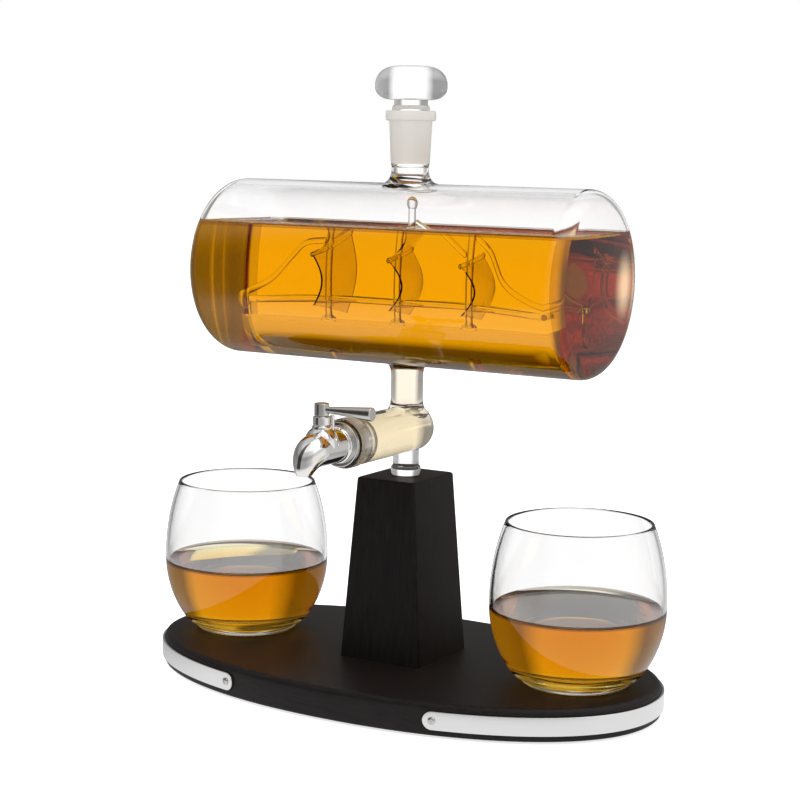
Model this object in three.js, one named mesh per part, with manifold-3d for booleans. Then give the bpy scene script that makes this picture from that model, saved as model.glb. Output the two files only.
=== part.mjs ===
// A whiskey dispenser: a glass cylinder with a blown-glass ship inside lies across the top of a dark
// wooden stand, a metal tap drains it through a glass elbow, and two round tumblers stand on the board.
// Millimetres, +Z up. The origin is the centre of the underside; +X runs along the board and the
// cylinder, and the tap points to -Y.

import * as THREE from 'three';
import { mergeVertices } from 'three/addons/utils/BufferGeometryUtils.js';
import Module from 'manifold-3d';

const wasm = await Module();
wasm.setup();

// Clearances
const seatGap = 0.3; // between a piece and the one that carries it
const runningGap = 0.15; // round a piece that turns or slides
const overrun = 1.5; // how far a cutter runs past what it cuts

// Board and the sheet under it
const boardLength = 270;
const boardWidth = 151.5;
const boardThickness = 15.3;
const boardTopRound = 3.2;
const boardBottomRound = 1.2;
const outlinePowerShare = 0.942; // 1 is an ellipse, less is fuller at the corners
const padThickness = 1.2;
const padInset = 9;

// Steel bands round the ends of the board, and their screws
const bandHeight = 8.7;
const bandThickness = 1;
const bandRise = 3.2; // lower edge above the underside of the board
const bandEndX = 53; // where a band stops, from the middle of the board
const bandTipShare = 0.16; // height left at the very end of the rounded tip
const bandScrewHeadRadius = 1.9;
const bandScrewHeadHeight = 0.8;
const bandScrewSlotWidth = 0.5;
const bandScrewSlotDepthShare = 0.5;
const bandScrewShankRadius = 1;
const bandScrewLength = 9;

// Pedestal
const pedestalHeight = 89.7;
const pedestalFootWidth = 45;
const pedestalFootDepth = 47.5;
const pedestalTopWidth = 32.5;
const pedestalTopDepth = 39.5;
const pedestalCornerRound = 1.8;
const pedestalEdgeRound = 1.1;
const pedestalScrewSpacing = 24;
const pedestalScrewRadius = 2;
const pedestalScrewHeadRadius = 4;
const pedestalScrewHeadHeight = 2.6;
const pedestalScrewLength = 30;
const counterboreDepth = 4.5;

// Peg under the glass, the bead that carries it, and the sleeve in the pedestal
const pegRadius = 5.9;
const pegBelow = 18; // length of the peg inside the pedestal
const pegEndRound = 1.5;
const sleeveWall = 0.5;
const beadLap = 0.7; // how far the bead reaches past the bore
const beadHeight = 4.8;
const stubRadius = 6.4; // glass between the bead and the tap tube

// Tap tube, a horizontal glass tube whose bore feeds the tap
const tapTubeHeight = 22.9; // its axis above the pedestal
const tapTubeRadius = 11.5;
const tapTubeReach = 58; // from the peg's axis to the mouth
const tapTubeTail = 4; // centre of the round rear end behind the peg's axis
const tapTubeLip = 0.4; // how much the mouth stands out
const tapTubeLipLength = 9;
const tubeWall = 1.9;

// Lower neck, between the tap tube and the cylinder
const lowerNeckLength = 31.5; // from the tap tube's axis to the cylinder
const lowerNeckRadius = 7.9;
const lowerFlare = 3.6; // how much the neck widens at both ends
const lowerFlareHeight = 6.5;

// Cylinder
const cylinderRadius = 44.1;
const cylinderLength = 210;
const cylinderShoulder = 7.5;
const cylinderDome = 2.2; // how far the ends bulge
const domeRingShare = 0.6; // a ring on the dome, of its radius
const cylinderWall = 2.2;

// Upper neck, ground socket and collar
const neckLength = 9.6;
const neckRadius = 8.9;
const neckFlare = 4.6;
const neckFlareHeight = 7;
const socketFootRadius = 9.4;
const socketLength = 25.2;
const socketWall = 1.2; // the ground joint is thinner than the tubes
const groundTaperShare = 0.05; // growth of the radius for each millimetre of length, 1 in 10 on diameter
const collarRadius = 12.2;
const collarHeight = 4.9;
const collarRound = 1.1;

// Stopper
const stopperPlugShare = 0.92; // of the socket's length
const stopperFlareHeight = 2.6;
const stopperNeckRadius = 8.1;
const stopperNeckHeight = 2.5;
const knobRadius = 17.4;
const knobHeight = 16.1;
const knobWidestShare = 0.4;
const knobTopShare = 0.34; // flat part of the top, of the knob's radius
const knobFootShare = 0.5; // where the underside turns into the neck
const knobRoundShare = 2.3; // 2 is an ellipse, more is squarer

// Ship: places are measured from the middle of the cylinder
const hullEndRoom = 15.8; // between each end of the hull and the cylinder's inside
const hullBeam = 22;
const hullDepth = 11.5;
const deckDrop = 17; // deck below the cylinder's axis
const hullFullnessShare = 4; // 2 is an oval deck, more has blunter ends
const hullEndShare = 0.45; // width at the ends, of the beam
const hullSectionShare = 2.6; // 2 is a round bottom, more is flatter
const hullFootRadius = 3.2;
const rodRadius = 1.1;
const railRise = 7.5; // rails above the deck at the middle
const railEndRise = 5.5; // and at the bow and the stern
const railSpread = 7;
const bowBallRadius = 3.2;
const sternRingRadius = 4;
const mastRadius = 1.8;
const mastBeadRadius = 4.2;
const mastBeadHeight = 2.4;
const foreMastX = -37;
const mainMastX = 2;
const mizzenMastX = 41;
const foreMastHeight = 37; // above the deck
const mainMastHeight = 51.5;
const mizzenMastHeight = 33;
const finialRadius = 2.7;
const sailThickness = 1;
const foreSailWidth = 48; // at its widest yard
const mainSailWidth = 30;
const mizzenSailWidth = 30;
const foreSailBelly = 6.5;
const mainSailBelly = 9;
const sailPinchShare = 0.18; // how much the belly is drawn in at the sides
// Yards from the top down, then the foot of the lowest sail: widths of the widest yard, heights of the mast.
const foreSailShares = { widths: [0.44, 1, 0.92], heights: [0.95, 0.68, 0.11] };
const mainSailShares = { widths: [0.7, 1, 0.92], heights: [0.77, 0.45, 0.08] };
const mizzenSailShares = { widths: [1, 0.9], heights: [0.68, 0.12] };
// Stays: where each meets its masts, of the mast's height, and how it bends between its ends.
const bowStayTopShare = 0.73;
const bowStayBendShares = [[0.34, 0.28], [0.6, 0.7], [0.75, 0.93]];
const mainStayTopShare = 0.83;
const mainStayLowShare = 0.75;
const sternStayTopShare = 0.93;
const sternStayBendShares = [[0.19, 0.2], [0.39, 0.65], [0.7, 0.89]];
const bowStayFootShare = 0.85; // where the bow stay meets the ball, of its radius
const stayEndShare = 0.75; // how far a slanting end reaches, of the rod's radius

// Bung and washer in the mouth of the tap tube
const bungLength = 14.5;
const bungBoreRadius = 3.4;
const bungStepShare = 0.1; // from the rear of the bung to where its bore widens, of its length
const tailGapShare = 0.15; // from the rear of the bung to the tap's tail
const washerThickness = 1.3;
const washerRadius = 10.8;

// Tap
const flangeRadius = 10.7;
const flangeThickness = 2.6;
const flangeRound = 0.6;
const flangeStep = 1.7; // the raised ring on the flange's face, less than the flange by this
const flangeStepHeight = 0.9;
const tailRadius = 4.9;
const tailBoreRadius = 2.9;
const tailBarb = 0.6;
const barbCount = 3;
const shoulderRadius = 8.9;
const shoulderLength = 1.6;
const barrelRadius = 7.9;
const stemBeyondMouth = 18; // valve axis in front of the tap tube's mouth
const spoutBeyondStem = 14.1; // nozzle axis in front of the valve's axis
const spoutDrop = 10; // nozzle end below the tap's axis, the radius of the bend too
const nozzleRadius = 3.8;
const nozzleWall = 0.9;
const spoutTaperShare = 2.2; // how late the spout tapers along its bend
const stemNeckRadius = 4.6;
const stemNeckHeight = 11; // top of the valve's neck above the tap's axis
const stemNeckFootShare = 0.88; // where that neck leaves the shoulder, of its height
// The round shoulder under that neck: radius, and height above the tap's axis, of the barrel's radius.
const stemShoulderShares = [[1, 0], [1, 0.4], [0.93, 0.75], [0.78, 1.02], [0.58, 1.2]];
const bonnetRadius = 4;
const bonnetHeight = 4;
const bonnetRound = 0.4;
const stopPinRadius = 1.15;
const stopPinSetback = 8.9; // behind the valve's axis
const stopPinTop = 14.8; // above the tap's axis
const stopPinRoot = 2; // length sunk in the barrel

// Valve
const plugRadius = 3;
const plugHeight = 9.6;
const plugBoreRadius = 1.9;
const stemRadius = 1.6;
const sealSection = 0.45;
const sealSpacing = 3.6; // of a seal ring above or below the tap's axis
const capRadius = 3.4;
const capHeight = 5.8;
const capRound = 0.35;
const leverLength = 27.4; // from the valve's axis to the end face
const leverRootRadius = 1.55;
const leverEndRadius = 3.2;
const leverEndRound = 0.5;

// Tumblers
const tumblerSpacing = 191;
const tumblerHeight = 77.1;
const tumblerRimRadius = 34.8;
const tumblerBellyRadius = 42;
const tumblerBellyHeight = 38;
const tumblerFootRadius = 26.8;
const tumblerFootRound = 2.6;
const tumblerWall = 1.7;
const tumblerFloor = 5.6;
const tumblerFloorTurnShare = 0.26; // height of the inside's rounded bottom, of the belly's height
const tumblerFloorRoundShare = 2.4; // 2 is an ellipse, more is squarer
const tumblerLipShares = [0.3, 0.7]; // the flat on the rim, of the wall

// Facets
const boardSegments = 48;
const cylinderSegments = 36;
const tubeSegments = 18;
const tumblerSegments = 26;
const smallSegments = 14;
const rodSides = 6;

// Derived levels
const boardTop = padThickness + boardThickness;
const pedestalTop = boardTop + pedestalHeight;
const cylinderHeight = tapTubeHeight + lowerNeckLength + cylinderRadius; // axis above the pedestal
const neckBottom = cylinderHeight + cylinderRadius;
const socketBottom = neckBottom + neckLength;
const socketTop = socketBottom + socketLength;
const socketBoreFootRadius = socketFootRadius - socketWall;
const sleeveInnerRadius = pegRadius + runningGap;
const sleeveOuterRadius = sleeveInnerRadius + sleeveWall;
const socketBoreRadius = sleeveOuterRadius + runningGap;
const socketBoreDepth = pegBelow + sleeveWall + runningGap + seatGap;
const beadRadius = socketBoreRadius + beadLap;
const cavityRadius = cylinderRadius - cylinderWall;
const hullLength = cylinderLength - 2 * (cylinderWall + hullEndRoom);
const tapBoreRadius = tapTubeRadius - tubeWall;
const washerFront = tapTubeReach + washerThickness;
const flangeFront = washerFront + flangeThickness + flangeStepHeight;
const shoulderFront = flangeFront + shoulderLength;
const stemReach = tapTubeReach + stemBeyondMouth;
const spoutReach = stemReach + spoutBeyondStem;
const chamberRadius = plugRadius + runningGap;

// Materials
const darkWood = new THREE.MeshStandardMaterial({ color: 0x17110f, roughness: 0.45 });
const rubber = new THREE.MeshStandardMaterial({ color: 0x191919, roughness: 0.8 });
const steel = new THREE.MeshStandardMaterial({ color: 0xd5d6d8, roughness: 0.18, metalness: 1 });
const brushedSteel = new THREE.MeshStandardMaterial({ color: 0xbfc0c0, roughness: 0.35, metalness: 1 });
const glass = new THREE.MeshStandardMaterial({
  color: 0xe9f1f1, roughness: 0.03, transparent: true, opacity: 0.35,
});
const silicone = new THREE.MeshStandardMaterial({ color: 0xe9e9e4, roughness: 0.5 });

// Solids

// A closed geometry as a solid with its faces turned outwards.
function solidOf(geometry) {
  const bare = new THREE.BufferGeometry();
  bare.setAttribute('position', geometry.getAttribute('position'));
  if (geometry.index) bare.setIndex(geometry.index);
  const merged = mergeVertices(bare);
  const corners = merged.index.array;
  const faces = [];
  for (let i = 0; i < corners.length; i += 3) {
    const [a, b, c] = [corners[i], corners[i + 1], corners[i + 2]];
    if (a !== b && b !== c && c !== a) faces.push(a, b, c);
  }
  const made = (order) => new wasm.Manifold(new wasm.Mesh({
    numProp: 3,
    vertProperties: merged.attributes.position.array,
    triVerts: new Uint32Array(order),
  }));
  const solid = made(faces);
  if (solid.volume() > 0) return solid;
  for (let i = 0; i < faces.length; i += 3) [faces[i], faces[i + 1]] = [faces[i + 1], faces[i]];
  return made(faces);
}

function unite(...solids) {
  return solids.reduce((whole, next) => whole.add(next));
}

function cut(solid, ...cutters) {
  return cutters.reduce((left, next) => left.subtract(next), solid);
}

function geometryOf(solid) {
  const mesh = solid.getMesh();
  const geometry = new THREE.BufferGeometry();
  geometry.setAttribute('position', new THREE.BufferAttribute(mesh.vertProperties, 3));
  geometry.setIndex(new THREE.BufferAttribute(mesh.triVerts, 1));
  geometry.computeVertexNormals();
  return geometry;
}

function piece(name, solid, material) {
  const mesh = new THREE.Mesh(geometryOf(solid), material);
  mesh.name = name;
  return mesh;
}

// Points of a quarter of a round corner about (r, z), from (r + dr, z) to (r, z + dz). Power 2 is an
// ellipse, more is squarer.
function quarter(r, z, dr, dz, steps, power = 2) {
  return Array.from({ length: steps + 1 }, (_, i) => {
    const angle = (Math.PI / 2) * (i / steps);
    const across = Math.cos(angle) ** (2 / power);
    const up = Math.sin(angle) ** (2 / power);
    return [i === steps ? r : r + dr * across, i === 0 ? z : z + dz * up];
  });
}

// A solid of revolution about Z. Its profile of [radius, height] starts and ends on the axis, or is a
// loop that is closed here.
function lathe(profile, segments) {
  const points = profile.map(([r, z]) => new THREE.Vector2(r, z));
  const onAxis = profile[0][0] === 0 && profile.at(-1)[0] === 0;
  if (!onAxis) points.push(points[0].clone());
  return new THREE.LatheGeometry(points, segments).rotateX(Math.PI / 2);
}

function rod(radius, from, to, segments) {
  return lathe([[0, from], [radius, from], [radius, to], [0, to]], segments);
}

function ball(radius, x, y, z) {
  return new THREE.SphereGeometry(radius, rodSides * 2, rodSides).translate(x, y, z);
}

// Turns what was made along +Z to point along -Y, as the tap does.
function alongTap(geometry) {
  return geometry.rotateX(Math.PI / 2);
}

function alongX(geometry) {
  return geometry.rotateY(Math.PI / 2);
}

// A closed skin over rings of equally many points, with a fan on each end ring, which is convex.
function loft(rings) {
  const count = rings[0].length;
  const positions = rings.flat().flatMap((p) => [p.x, p.y, p.z]);
  const index = [];
  for (let k = 0; k + 1 < rings.length; k++) {
    for (let i = 0; i < count; i++) {
      const [a, b] = [k * count + i, k * count + ((i + 1) % count)];
      index.push(a, b, b + count, a, b + count, a + count);
    }
  }
  const last = (rings.length - 1) * count;
  for (let i = 1; i + 1 < count; i++) index.push(0, i + 1, i, last, last + i, last + i + 1);
  const geometry = new THREE.BufferGeometry();
  geometry.setAttribute('position', new THREE.Float32BufferAttribute(positions, 3));
  geometry.setIndex(index);
  return geometry;
}

// A sheet of even thickness along X, over a grid of steps; pointAt(u, v) gives its middle.
function sheet(pointAt, uSteps, vSteps, thickness) {
  const rows = [];
  for (let j = 0; j <= vSteps; j++) {
    const row = Array.from({ length: uSteps + 1 }, (_, i) => pointAt(i / uSteps, j / vSteps));
    const shifted = (offset) => row.map((p) => p.clone().add(new THREE.Vector3(offset, 0, 0)));
    rows.push([...shifted(-thickness / 2), ...shifted(thickness / 2).reverse()]);
  }
  const count = rows[0].length;
  const positions = rows.flat().flatMap((p) => [p.x, p.y, p.z]);
  const index = [];
  for (let k = 0; k < vSteps; k++) {
    for (let i = 0; i < count; i++) {
      const [a, b] = [k * count + i, k * count + ((i + 1) % count)];
      index.push(a, b, b + count, a, b + count, a + count);
    }
  }
  for (const [start, flip] of [[0, true], [vSteps * count, false]]) {
    for (let i = 0; i < uSteps; i++) {
      const [a, b, c, d] = [i, i + 1, count - 2 - i, count - 1 - i].map((n) => start + n);
      if (flip) index.push(a, c, b, a, d, c);
      else index.push(a, b, c, a, c, d);
    }
  }
  const geometry = new THREE.BufferGeometry();
  geometry.setAttribute('position', new THREE.Float32BufferAttribute(positions, 3));
  geometry.setIndex(index);
  return geometry;
}

// A round bar along a smooth curve through the points.
function bar(points, radius, steps) {
  const path = new THREE.CatmullRomCurve3(points.map((p) => new THREE.Vector3(...p)));
  const section = new THREE.Shape();
  for (let i = 0; i < rodSides; i++) {
    const angle = (2 * Math.PI * i) / rodSides;
    const corner = [radius * Math.cos(angle), radius * Math.sin(angle)];
    if (i === 0) section.moveTo(...corner);
    else section.lineTo(...corner);
  }
  return new THREE.ExtrudeGeometry(section, { steps, extrudePath: path });
}

// Board

// A point of the board's outline at an angle, moved outwards by grow. The outline is
// |x/a|^m + |y/b|^m = 1, so its normal is known.
function outlinePoint(angle, grow, z) {
  const [a, b] = [boardLength / 2, boardWidth / 2];
  const [c, s] = [Math.cos(angle), Math.sin(angle)];
  const x = Math.sign(c) * Math.abs(c) ** outlinePowerShare;
  const y = Math.sign(s) * Math.abs(s) ** outlinePowerShare;
  const power = 2 / outlinePowerShare - 1;
  const normal = new THREE.Vector2(
    (Math.sign(x) * Math.abs(x) ** power) / a,
    (Math.sign(y) * Math.abs(y) ** power) / b,
  ).normalize();
  return new THREE.Vector3(a * x + normal.x * grow, b * y + normal.y * grow, z);
}

function outlineRing(grow, z) {
  return Array.from({ length: boardSegments }, (_, i) =>
    outlinePoint((2 * Math.PI * i) / boardSegments, grow, z));
}

// The angle at which the outline reaches x, on the side given by the sign of y.
function outlineAngle(x, side) {
  const share = (2 * Math.abs(x)) / boardLength;
  const first = Math.acos(Math.min(1, share ** (1 / outlinePowerShare)));
  return side * (x < 0 ? Math.PI - first : first);
}

function board() {
  const rings = [
    ...quarter(-boardBottomRound, boardBottomRound, boardBottomRound, -boardBottomRound, 1).reverse(),
    ...quarter(-boardTopRound, boardThickness - boardTopRound, boardTopRound, boardTopRound, 3),
  ].map(([grow, z]) => outlineRing(grow, padThickness + z));
  const holes = bandScrewPlaces().map((place) => bandScrewHole(place, bandScrewLength + seatGap));
  const wells = pedestalScrewPlaces().flatMap((y) => [
    rod(pedestalScrewRadius + runningGap, 0, boardTop + overrun, smallSegments).translate(0, y, 0),
    rod(pedestalScrewHeadRadius + runningGap, 0, padThickness + counterboreDepth, smallSegments)
      .translate(0, y, 0),
  ]);
  return cut(solidOf(loft(rings)), ...[...holes, ...wells].map(solidOf));
}

function pad() {
  return solidOf(loft([outlineRing(-padInset, 0), outlineRing(-padInset, padThickness)]));
}

// Bands

const bandLevel = padThickness + bandRise + bandHeight / 2;

// Where the band screws go: on the outline, a half height in from each end of a band, with the way out.
function bandScrewPlaces() {
  return [-1, 1].flatMap((end) => [-1, 1].map((side) => {
    const angle = outlineAngle(end * (bandEndX + bandHeight / 2), side);
    const point = outlinePoint(angle, seatGap + bandThickness, bandLevel);
    const outward = point.clone().sub(outlinePoint(angle, 0, bandLevel)).normalize();
    return { end, side, point, outward };
  }));
}

// The hole for a band screw, as deep as given below its head.
function bandScrewHole(place, depth) {
  return placed(rod(bandScrewShankRadius + runningGap, -depth, overrun, smallSegments / 2), place);
}

// Moves what was made along +Z so that it starts at the place and points outwards.
function placed(geometry, { point, outward }) {
  const turn = new THREE.Quaternion().setFromUnitVectors(new THREE.Vector3(0, 0, 1), outward);
  return geometry.applyQuaternion(turn).translate(point.x, point.y, point.z);
}

// A steel strip round one end of the board, with round tips.
function band(end) {
  const half = bandHeight / 2;
  const stepCount = 26;
  const tipSteps = 4;
  const from = outlineAngle(end * bandEndX, -1);
  const to = outlineAngle(end * bandEndX, 1);
  const turn = end > 0 ? to - from : 2 * Math.PI - (from < 0 ? -from : from) - to;
  const pointAt = (t, grow) => outlinePoint(from + (end > 0 ? 1 : -1) * turn * t, grow, 0);
  const length = pointAt(0, 0).distanceTo(pointAt(1 / stepCount, 0)) * stepCount;
  const tip = half / length;
  const shares = [
    ...Array.from({ length: tipSteps }, (_, i) => tip * (1 - Math.cos((Math.PI / 2) * (i / tipSteps)))),
    ...Array.from({ length: stepCount + 1 }, (_, i) => tip + (1 - 2 * tip) * (i / stepCount)),
    ...Array.from({ length: tipSteps }, (_, i) => 1 - tip * Math.cos((Math.PI / 2) * ((i + 1) / tipSteps))),
  ].map((t) => Math.min(1, Math.max(0, t)));
  const rings = shares.map((t) => {
    const inTip = Math.min(1, Math.min(t, 1 - t) / tip);
    const height = half * Math.max(bandTipShare, Math.sqrt(1 - (1 - inTip) ** 2));
    const [inner, outer] = [pointAt(t, seatGap), pointAt(t, seatGap + bandThickness)];
    return [[inner, -1], [outer, -1], [outer, 1], [inner, 1]].map(([p, way]) =>
      new THREE.Vector3(p.x, p.y, bandLevel + way * height));
  });
  const holes = bandScrewPlaces()
    .filter((place) => place.end === end)
    .map((place) => bandScrewHole(place, bandThickness + overrun));
  return cut(solidOf(loft(rings)), ...holes.map(solidOf));
}

// A round-headed slotted screw along +Z, with its head's underside at height 0.
function bandScrew(place) {
  const head = lathe([
    [0, -bandScrewLength],
    [bandScrewShankRadius / 3, -bandScrewLength],
    [bandScrewShankRadius, -bandScrewLength + bandScrewShankRadius * 2],
    [bandScrewShankRadius, runningGap],
    ...quarter(0, runningGap, bandScrewHeadRadius, bandScrewHeadHeight, 4),
  ], smallSegments / 2);
  const slotDepth = bandScrewHeadHeight * bandScrewSlotDepthShare;
  const slot = new THREE.BoxGeometry(bandScrewHeadRadius * 3, bandScrewSlotWidth, slotDepth * 2)
    .translate(0, 0, runningGap + bandScrewHeadHeight);
  return cut(solidOf(placed(head, place)), solidOf(placed(slot, place)));
}

// Pedestal

function pedestalScrewPlaces() {
  return [-pedestalScrewSpacing / 2, pedestalScrewSpacing / 2];
}

// A rectangle with round corners at height z.
function roundedRing(width, depth, round, z) {
  const steps = 4;
  return [[1, 1, 0], [-1, 1, 1], [-1, -1, 2], [1, -1, 3]].flatMap(([sx, sy, turn]) =>
    Array.from({ length: steps + 1 }, (_, i) => {
      const angle = (Math.PI / 2) * (turn + i / steps);
      return new THREE.Vector3(
        sx * (width / 2 - round) + round * Math.cos(angle),
        sy * (depth / 2 - round) + round * Math.sin(angle),
        z,
      );
    }));
}

function pedestal() {
  const sizeAt = (z) => {
    const share = z / pedestalHeight;
    return [
      pedestalFootWidth + (pedestalTopWidth - pedestalFootWidth) * share,
      pedestalFootDepth + (pedestalTopDepth - pedestalFootDepth) * share,
    ];
  };
  const shoulder = pedestalHeight - pedestalEdgeRound;
  const edge = quarter(-pedestalEdgeRound, shoulder, pedestalEdgeRound, pedestalEdgeRound, 3);
  const rings = [[0, 0], ...edge].map(([inset, z]) => {
    const [width, depth] = sizeAt(z);
    return roundedRing(width + 2 * inset, depth + 2 * inset, pedestalCornerRound, boardTop + z);
  });
  const bore = rod(socketBoreRadius, pedestalTop - socketBoreDepth, pedestalTop + overrun, tubeSegments);
  const screwTop = padThickness + counterboreDepth - pedestalScrewHeadHeight + pedestalScrewLength;
  const pilots = pedestalScrewPlaces().map((y) =>
    rod(pedestalScrewRadius + runningGap, boardTop - overrun, screwTop + seatGap, smallSegments)
      .translate(0, y, 0));
  return cut(solidOf(loft(rings)), solidOf(bore), ...pilots.map(solidOf));
}

// A countersunk wood screw that holds the pedestal from below.
function pedestalScrew(y) {
  const foot = padThickness + counterboreDepth - pedestalScrewHeadHeight - seatGap;
  const [radius, top] = [pedestalScrewRadius, foot + pedestalScrewLength];
  return solidOf(lathe([
    [0, foot],
    [pedestalScrewHeadRadius, foot],
    [pedestalScrewHeadRadius, foot + pedestalScrewHeadHeight / 4],
    [radius, foot + pedestalScrewHeadHeight],
    [radius, top - radius * 2],
    [0, top],
  ], smallSegments / 2).translate(0, y, 0));
}

function sleeve() {
  const floor = -pegBelow - runningGap;
  return solidOf(lathe([
    [0, floor - sleeveWall],
    [sleeveOuterRadius, floor - sleeveWall],
    [sleeveOuterRadius, -seatGap],
    [sleeveInnerRadius, -seatGap],
    [sleeveInnerRadius, floor],
    [0, floor],
  ], tubeSegments));
}

// Decanter: one piece of glass, in a frame whose origin is the middle of the pedestal's top

// The cylinder's outside, or its inside when it is drawn in by the wall.
function cylinderForm(inset) {
  const [radius, half] = [cylinderRadius - inset, cylinderLength / 2 - inset];
  const round = Math.max(cylinderShoulder - inset, cylinderShoulder / 3);
  const dome = Math.min(cylinderDome, round / 2);
  const edge = quarter(radius - round, half - dome - round, round, round, 3);
  const ring = [(radius - round) * domeRingShare, half - dome * domeRingShare ** 2];
  const end = [...edge, ring, [0, half]];
  const start = end.map(([r, z]) => [r, -z]).reverse();
  return alongX(lathe([...start, ...end], cylinderSegments)).translate(0, 0, cylinderHeight);
}

// Height of the cylinder's outside above its axis, a distance off to the side.
function cylinderCrest(side) {
  return Math.sqrt(cylinderRadius ** 2 - side ** 2);
}

function upperNeckOutside() {
  const footRadius = neckRadius + neckFlare;
  const root = cylinderHeight + cylinderCrest(footRadius) - cylinderWall / 2;
  const flare = quarter(footRadius, neckBottom + neckFlareHeight, -neckFlare, -neckFlareHeight, 3);
  const collarBottom = socketTop - collarHeight;
  const collarFlat = collarRadius - collarRound;
  const socketWidest = socketFootRadius + groundTaperShare * (collarBottom - socketBottom);
  return lathe([
    [0, root],
    [footRadius, root],
    ...flare.reverse(),
    [neckRadius, socketBottom - tubeWall],
    [socketFootRadius, socketBottom],
    [socketWidest, collarBottom],
    ...quarter(collarFlat, collarBottom + collarRound, collarRound, -collarRound, 2).reverse(),
    ...quarter(collarFlat, socketTop - collarRound, collarRound, collarRound, 2),
    [0, socketTop],
  ], tubeSegments);
}

function upperNeckInside() {
  const boreTop = socketBoreFootRadius + groundTaperShare * (socketLength + overrun);
  return lathe([
    [0, cylinderHeight + cavityRadius / 2],
    [neckRadius - tubeWall, cylinderHeight + cavityRadius / 2],
    [neckRadius - tubeWall, socketBottom - tubeWall],
    [socketBoreFootRadius, socketBottom],
    [boreTop, socketTop + overrun],
    [0, socketTop + overrun],
  ], tubeSegments);
}

function lowerNeckOutside() {
  const [wide, narrow] = [lowerNeckRadius + lowerFlare, lowerNeckRadius];
  const bottom = tapTubeHeight + Math.sqrt(tapTubeRadius ** 2 - narrow ** 2);
  const top = cylinderHeight - cylinderCrest(wide);
  return lathe([
    [0, tapTubeHeight],
    [narrow, tapTubeHeight],
    ...quarter(wide, bottom + lowerFlareHeight, -lowerFlare, -lowerFlareHeight, 3).reverse().slice(1),
    ...quarter(wide, top - lowerFlareHeight, -lowerFlare, lowerFlareHeight, 3),
    [wide, top + cylinderWall / 2],
    [0, top + cylinderWall / 2],
  ], tubeSegments);
}

function lowerNeckInside() {
  return rod(lowerNeckRadius - tubeWall, tapTubeHeight, cylinderHeight - cavityRadius / 2, tubeSegments);
}

// The tap tube's outside or bore, with a round rear end, along -Y.
function tapTubeForm(radius, lip, mouth) {
  const rear = quarter(0, -tapTubeTail, radius, -radius, 4).reverse();
  const lipStart = tapTubeReach - tapTubeLipLength;
  return alongTap(lathe([
    ...rear,
    [radius, lipStart],
    [radius + lip, tapTubeReach - tapTubeLipLength / 2],
    [radius + lip, mouth - lip],
    [radius, mouth],
    [0, mouth],
  ], tubeSegments)).translate(0, 0, tapTubeHeight);
}

function peg() {
  const neck = tapTubeHeight - tapTubeRadius + tubeWall;
  return lathe([
    [0, -pegBelow],
    ...quarter(pegRadius - pegEndRound, -pegBelow + pegEndRound, pegEndRound, -pegEndRound, 2).reverse(),
    [pegRadius, 0],
    [beadRadius - beadLap / 3, 0],
    [beadRadius, beadHeight / 4],
    [beadRadius, (beadHeight * 3) / 4],
    [stubRadius, beadHeight],
    [stubRadius, neck],
    [0, neck],
  ], tubeSegments);
}

function decanterGlass() {
  const outside = [
    cylinderForm(0),
    upperNeckOutside(),
    lowerNeckOutside(),
    tapTubeForm(tapTubeRadius, tapTubeLip, tapTubeReach),
    peg(),
  ].map(solidOf);
  const inside = [
    cylinderForm(cylinderWall),
    upperNeckInside(),
    lowerNeckInside(),
    tapTubeForm(tapBoreRadius, 0, tapTubeReach + overrun),
  ].map(solidOf);
  return cut(unite(...outside), unite(...inside));
}

function stopper() {
  const plugFoot = socketTop - socketLength * stopperPlugShare;
  const boreAt = (z) => socketBoreFootRadius + groundTaperShare * (z - socketBottom);
  const neckTop = socketTop + stopperFlareHeight + stopperNeckHeight;
  const top = neckTop + knobHeight;
  const widest = neckTop + knobHeight * knobWidestShare;
  const [foot, flat] = [knobRadius * knobFootShare, knobRadius * knobTopShare];
  return solidOf(lathe([
    [0, plugFoot],
    [boreAt(plugFoot) - seatGap, plugFoot],
    [boreAt(socketTop) - seatGap, socketTop],
    [stopperNeckRadius, socketTop + stopperFlareHeight],
    [stopperNeckRadius, neckTop],
    ...quarter(foot, widest, knobRadius - foot, neckTop - widest, 4, knobRoundShare).reverse(),
    ...quarter(flat, widest, knobRadius - flat, top - widest, 5, knobRoundShare).slice(1),
    [0, top],
  ], tubeSegments));
}

// Ship, in a frame whose origin is the middle of the cylinder

function hull() {
  const steps = 12;
  const rings = Array.from({ length: steps + 1 }, (_, k) => {
    const t = k / steps;
    const x = hullLength * (t - 0.5);
    const fullness = Math.sqrt(1 - Math.abs(2 * t - 1) ** hullFullnessShare);
    const half = (hullBeam / 2) * Math.max(hullEndShare, fullness);
    const bottom = quarter(0, -deckDrop, half, -hullDepth, 4, hullSectionShare);
    const port = bottom.map(([y, z]) => new THREE.Vector3(x, y, z));
    const starboard = bottom.slice(0, -1).reverse().map(([y, z]) => new THREE.Vector3(x, -y, z));
    return [...port, ...starboard];
  });
  return loft(rings);
}

// One of the two rails that run from the bow ball to the stern.
function rail(side, radius) {
  const half = hullLength / 2;
  return bar([
    [-half, 0, -deckDrop + railEndRise],
    [foreMastX, side * railSpread, -deckDrop + railRise],
    [mainMastX, side * railSpread, -deckDrop + railRise],
    [mizzenMastX, side * railSpread, -deckDrop + railRise],
    [half - sternRingRadius, 0, -deckDrop + railEndRise],
  ], radius, 14);
}

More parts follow.
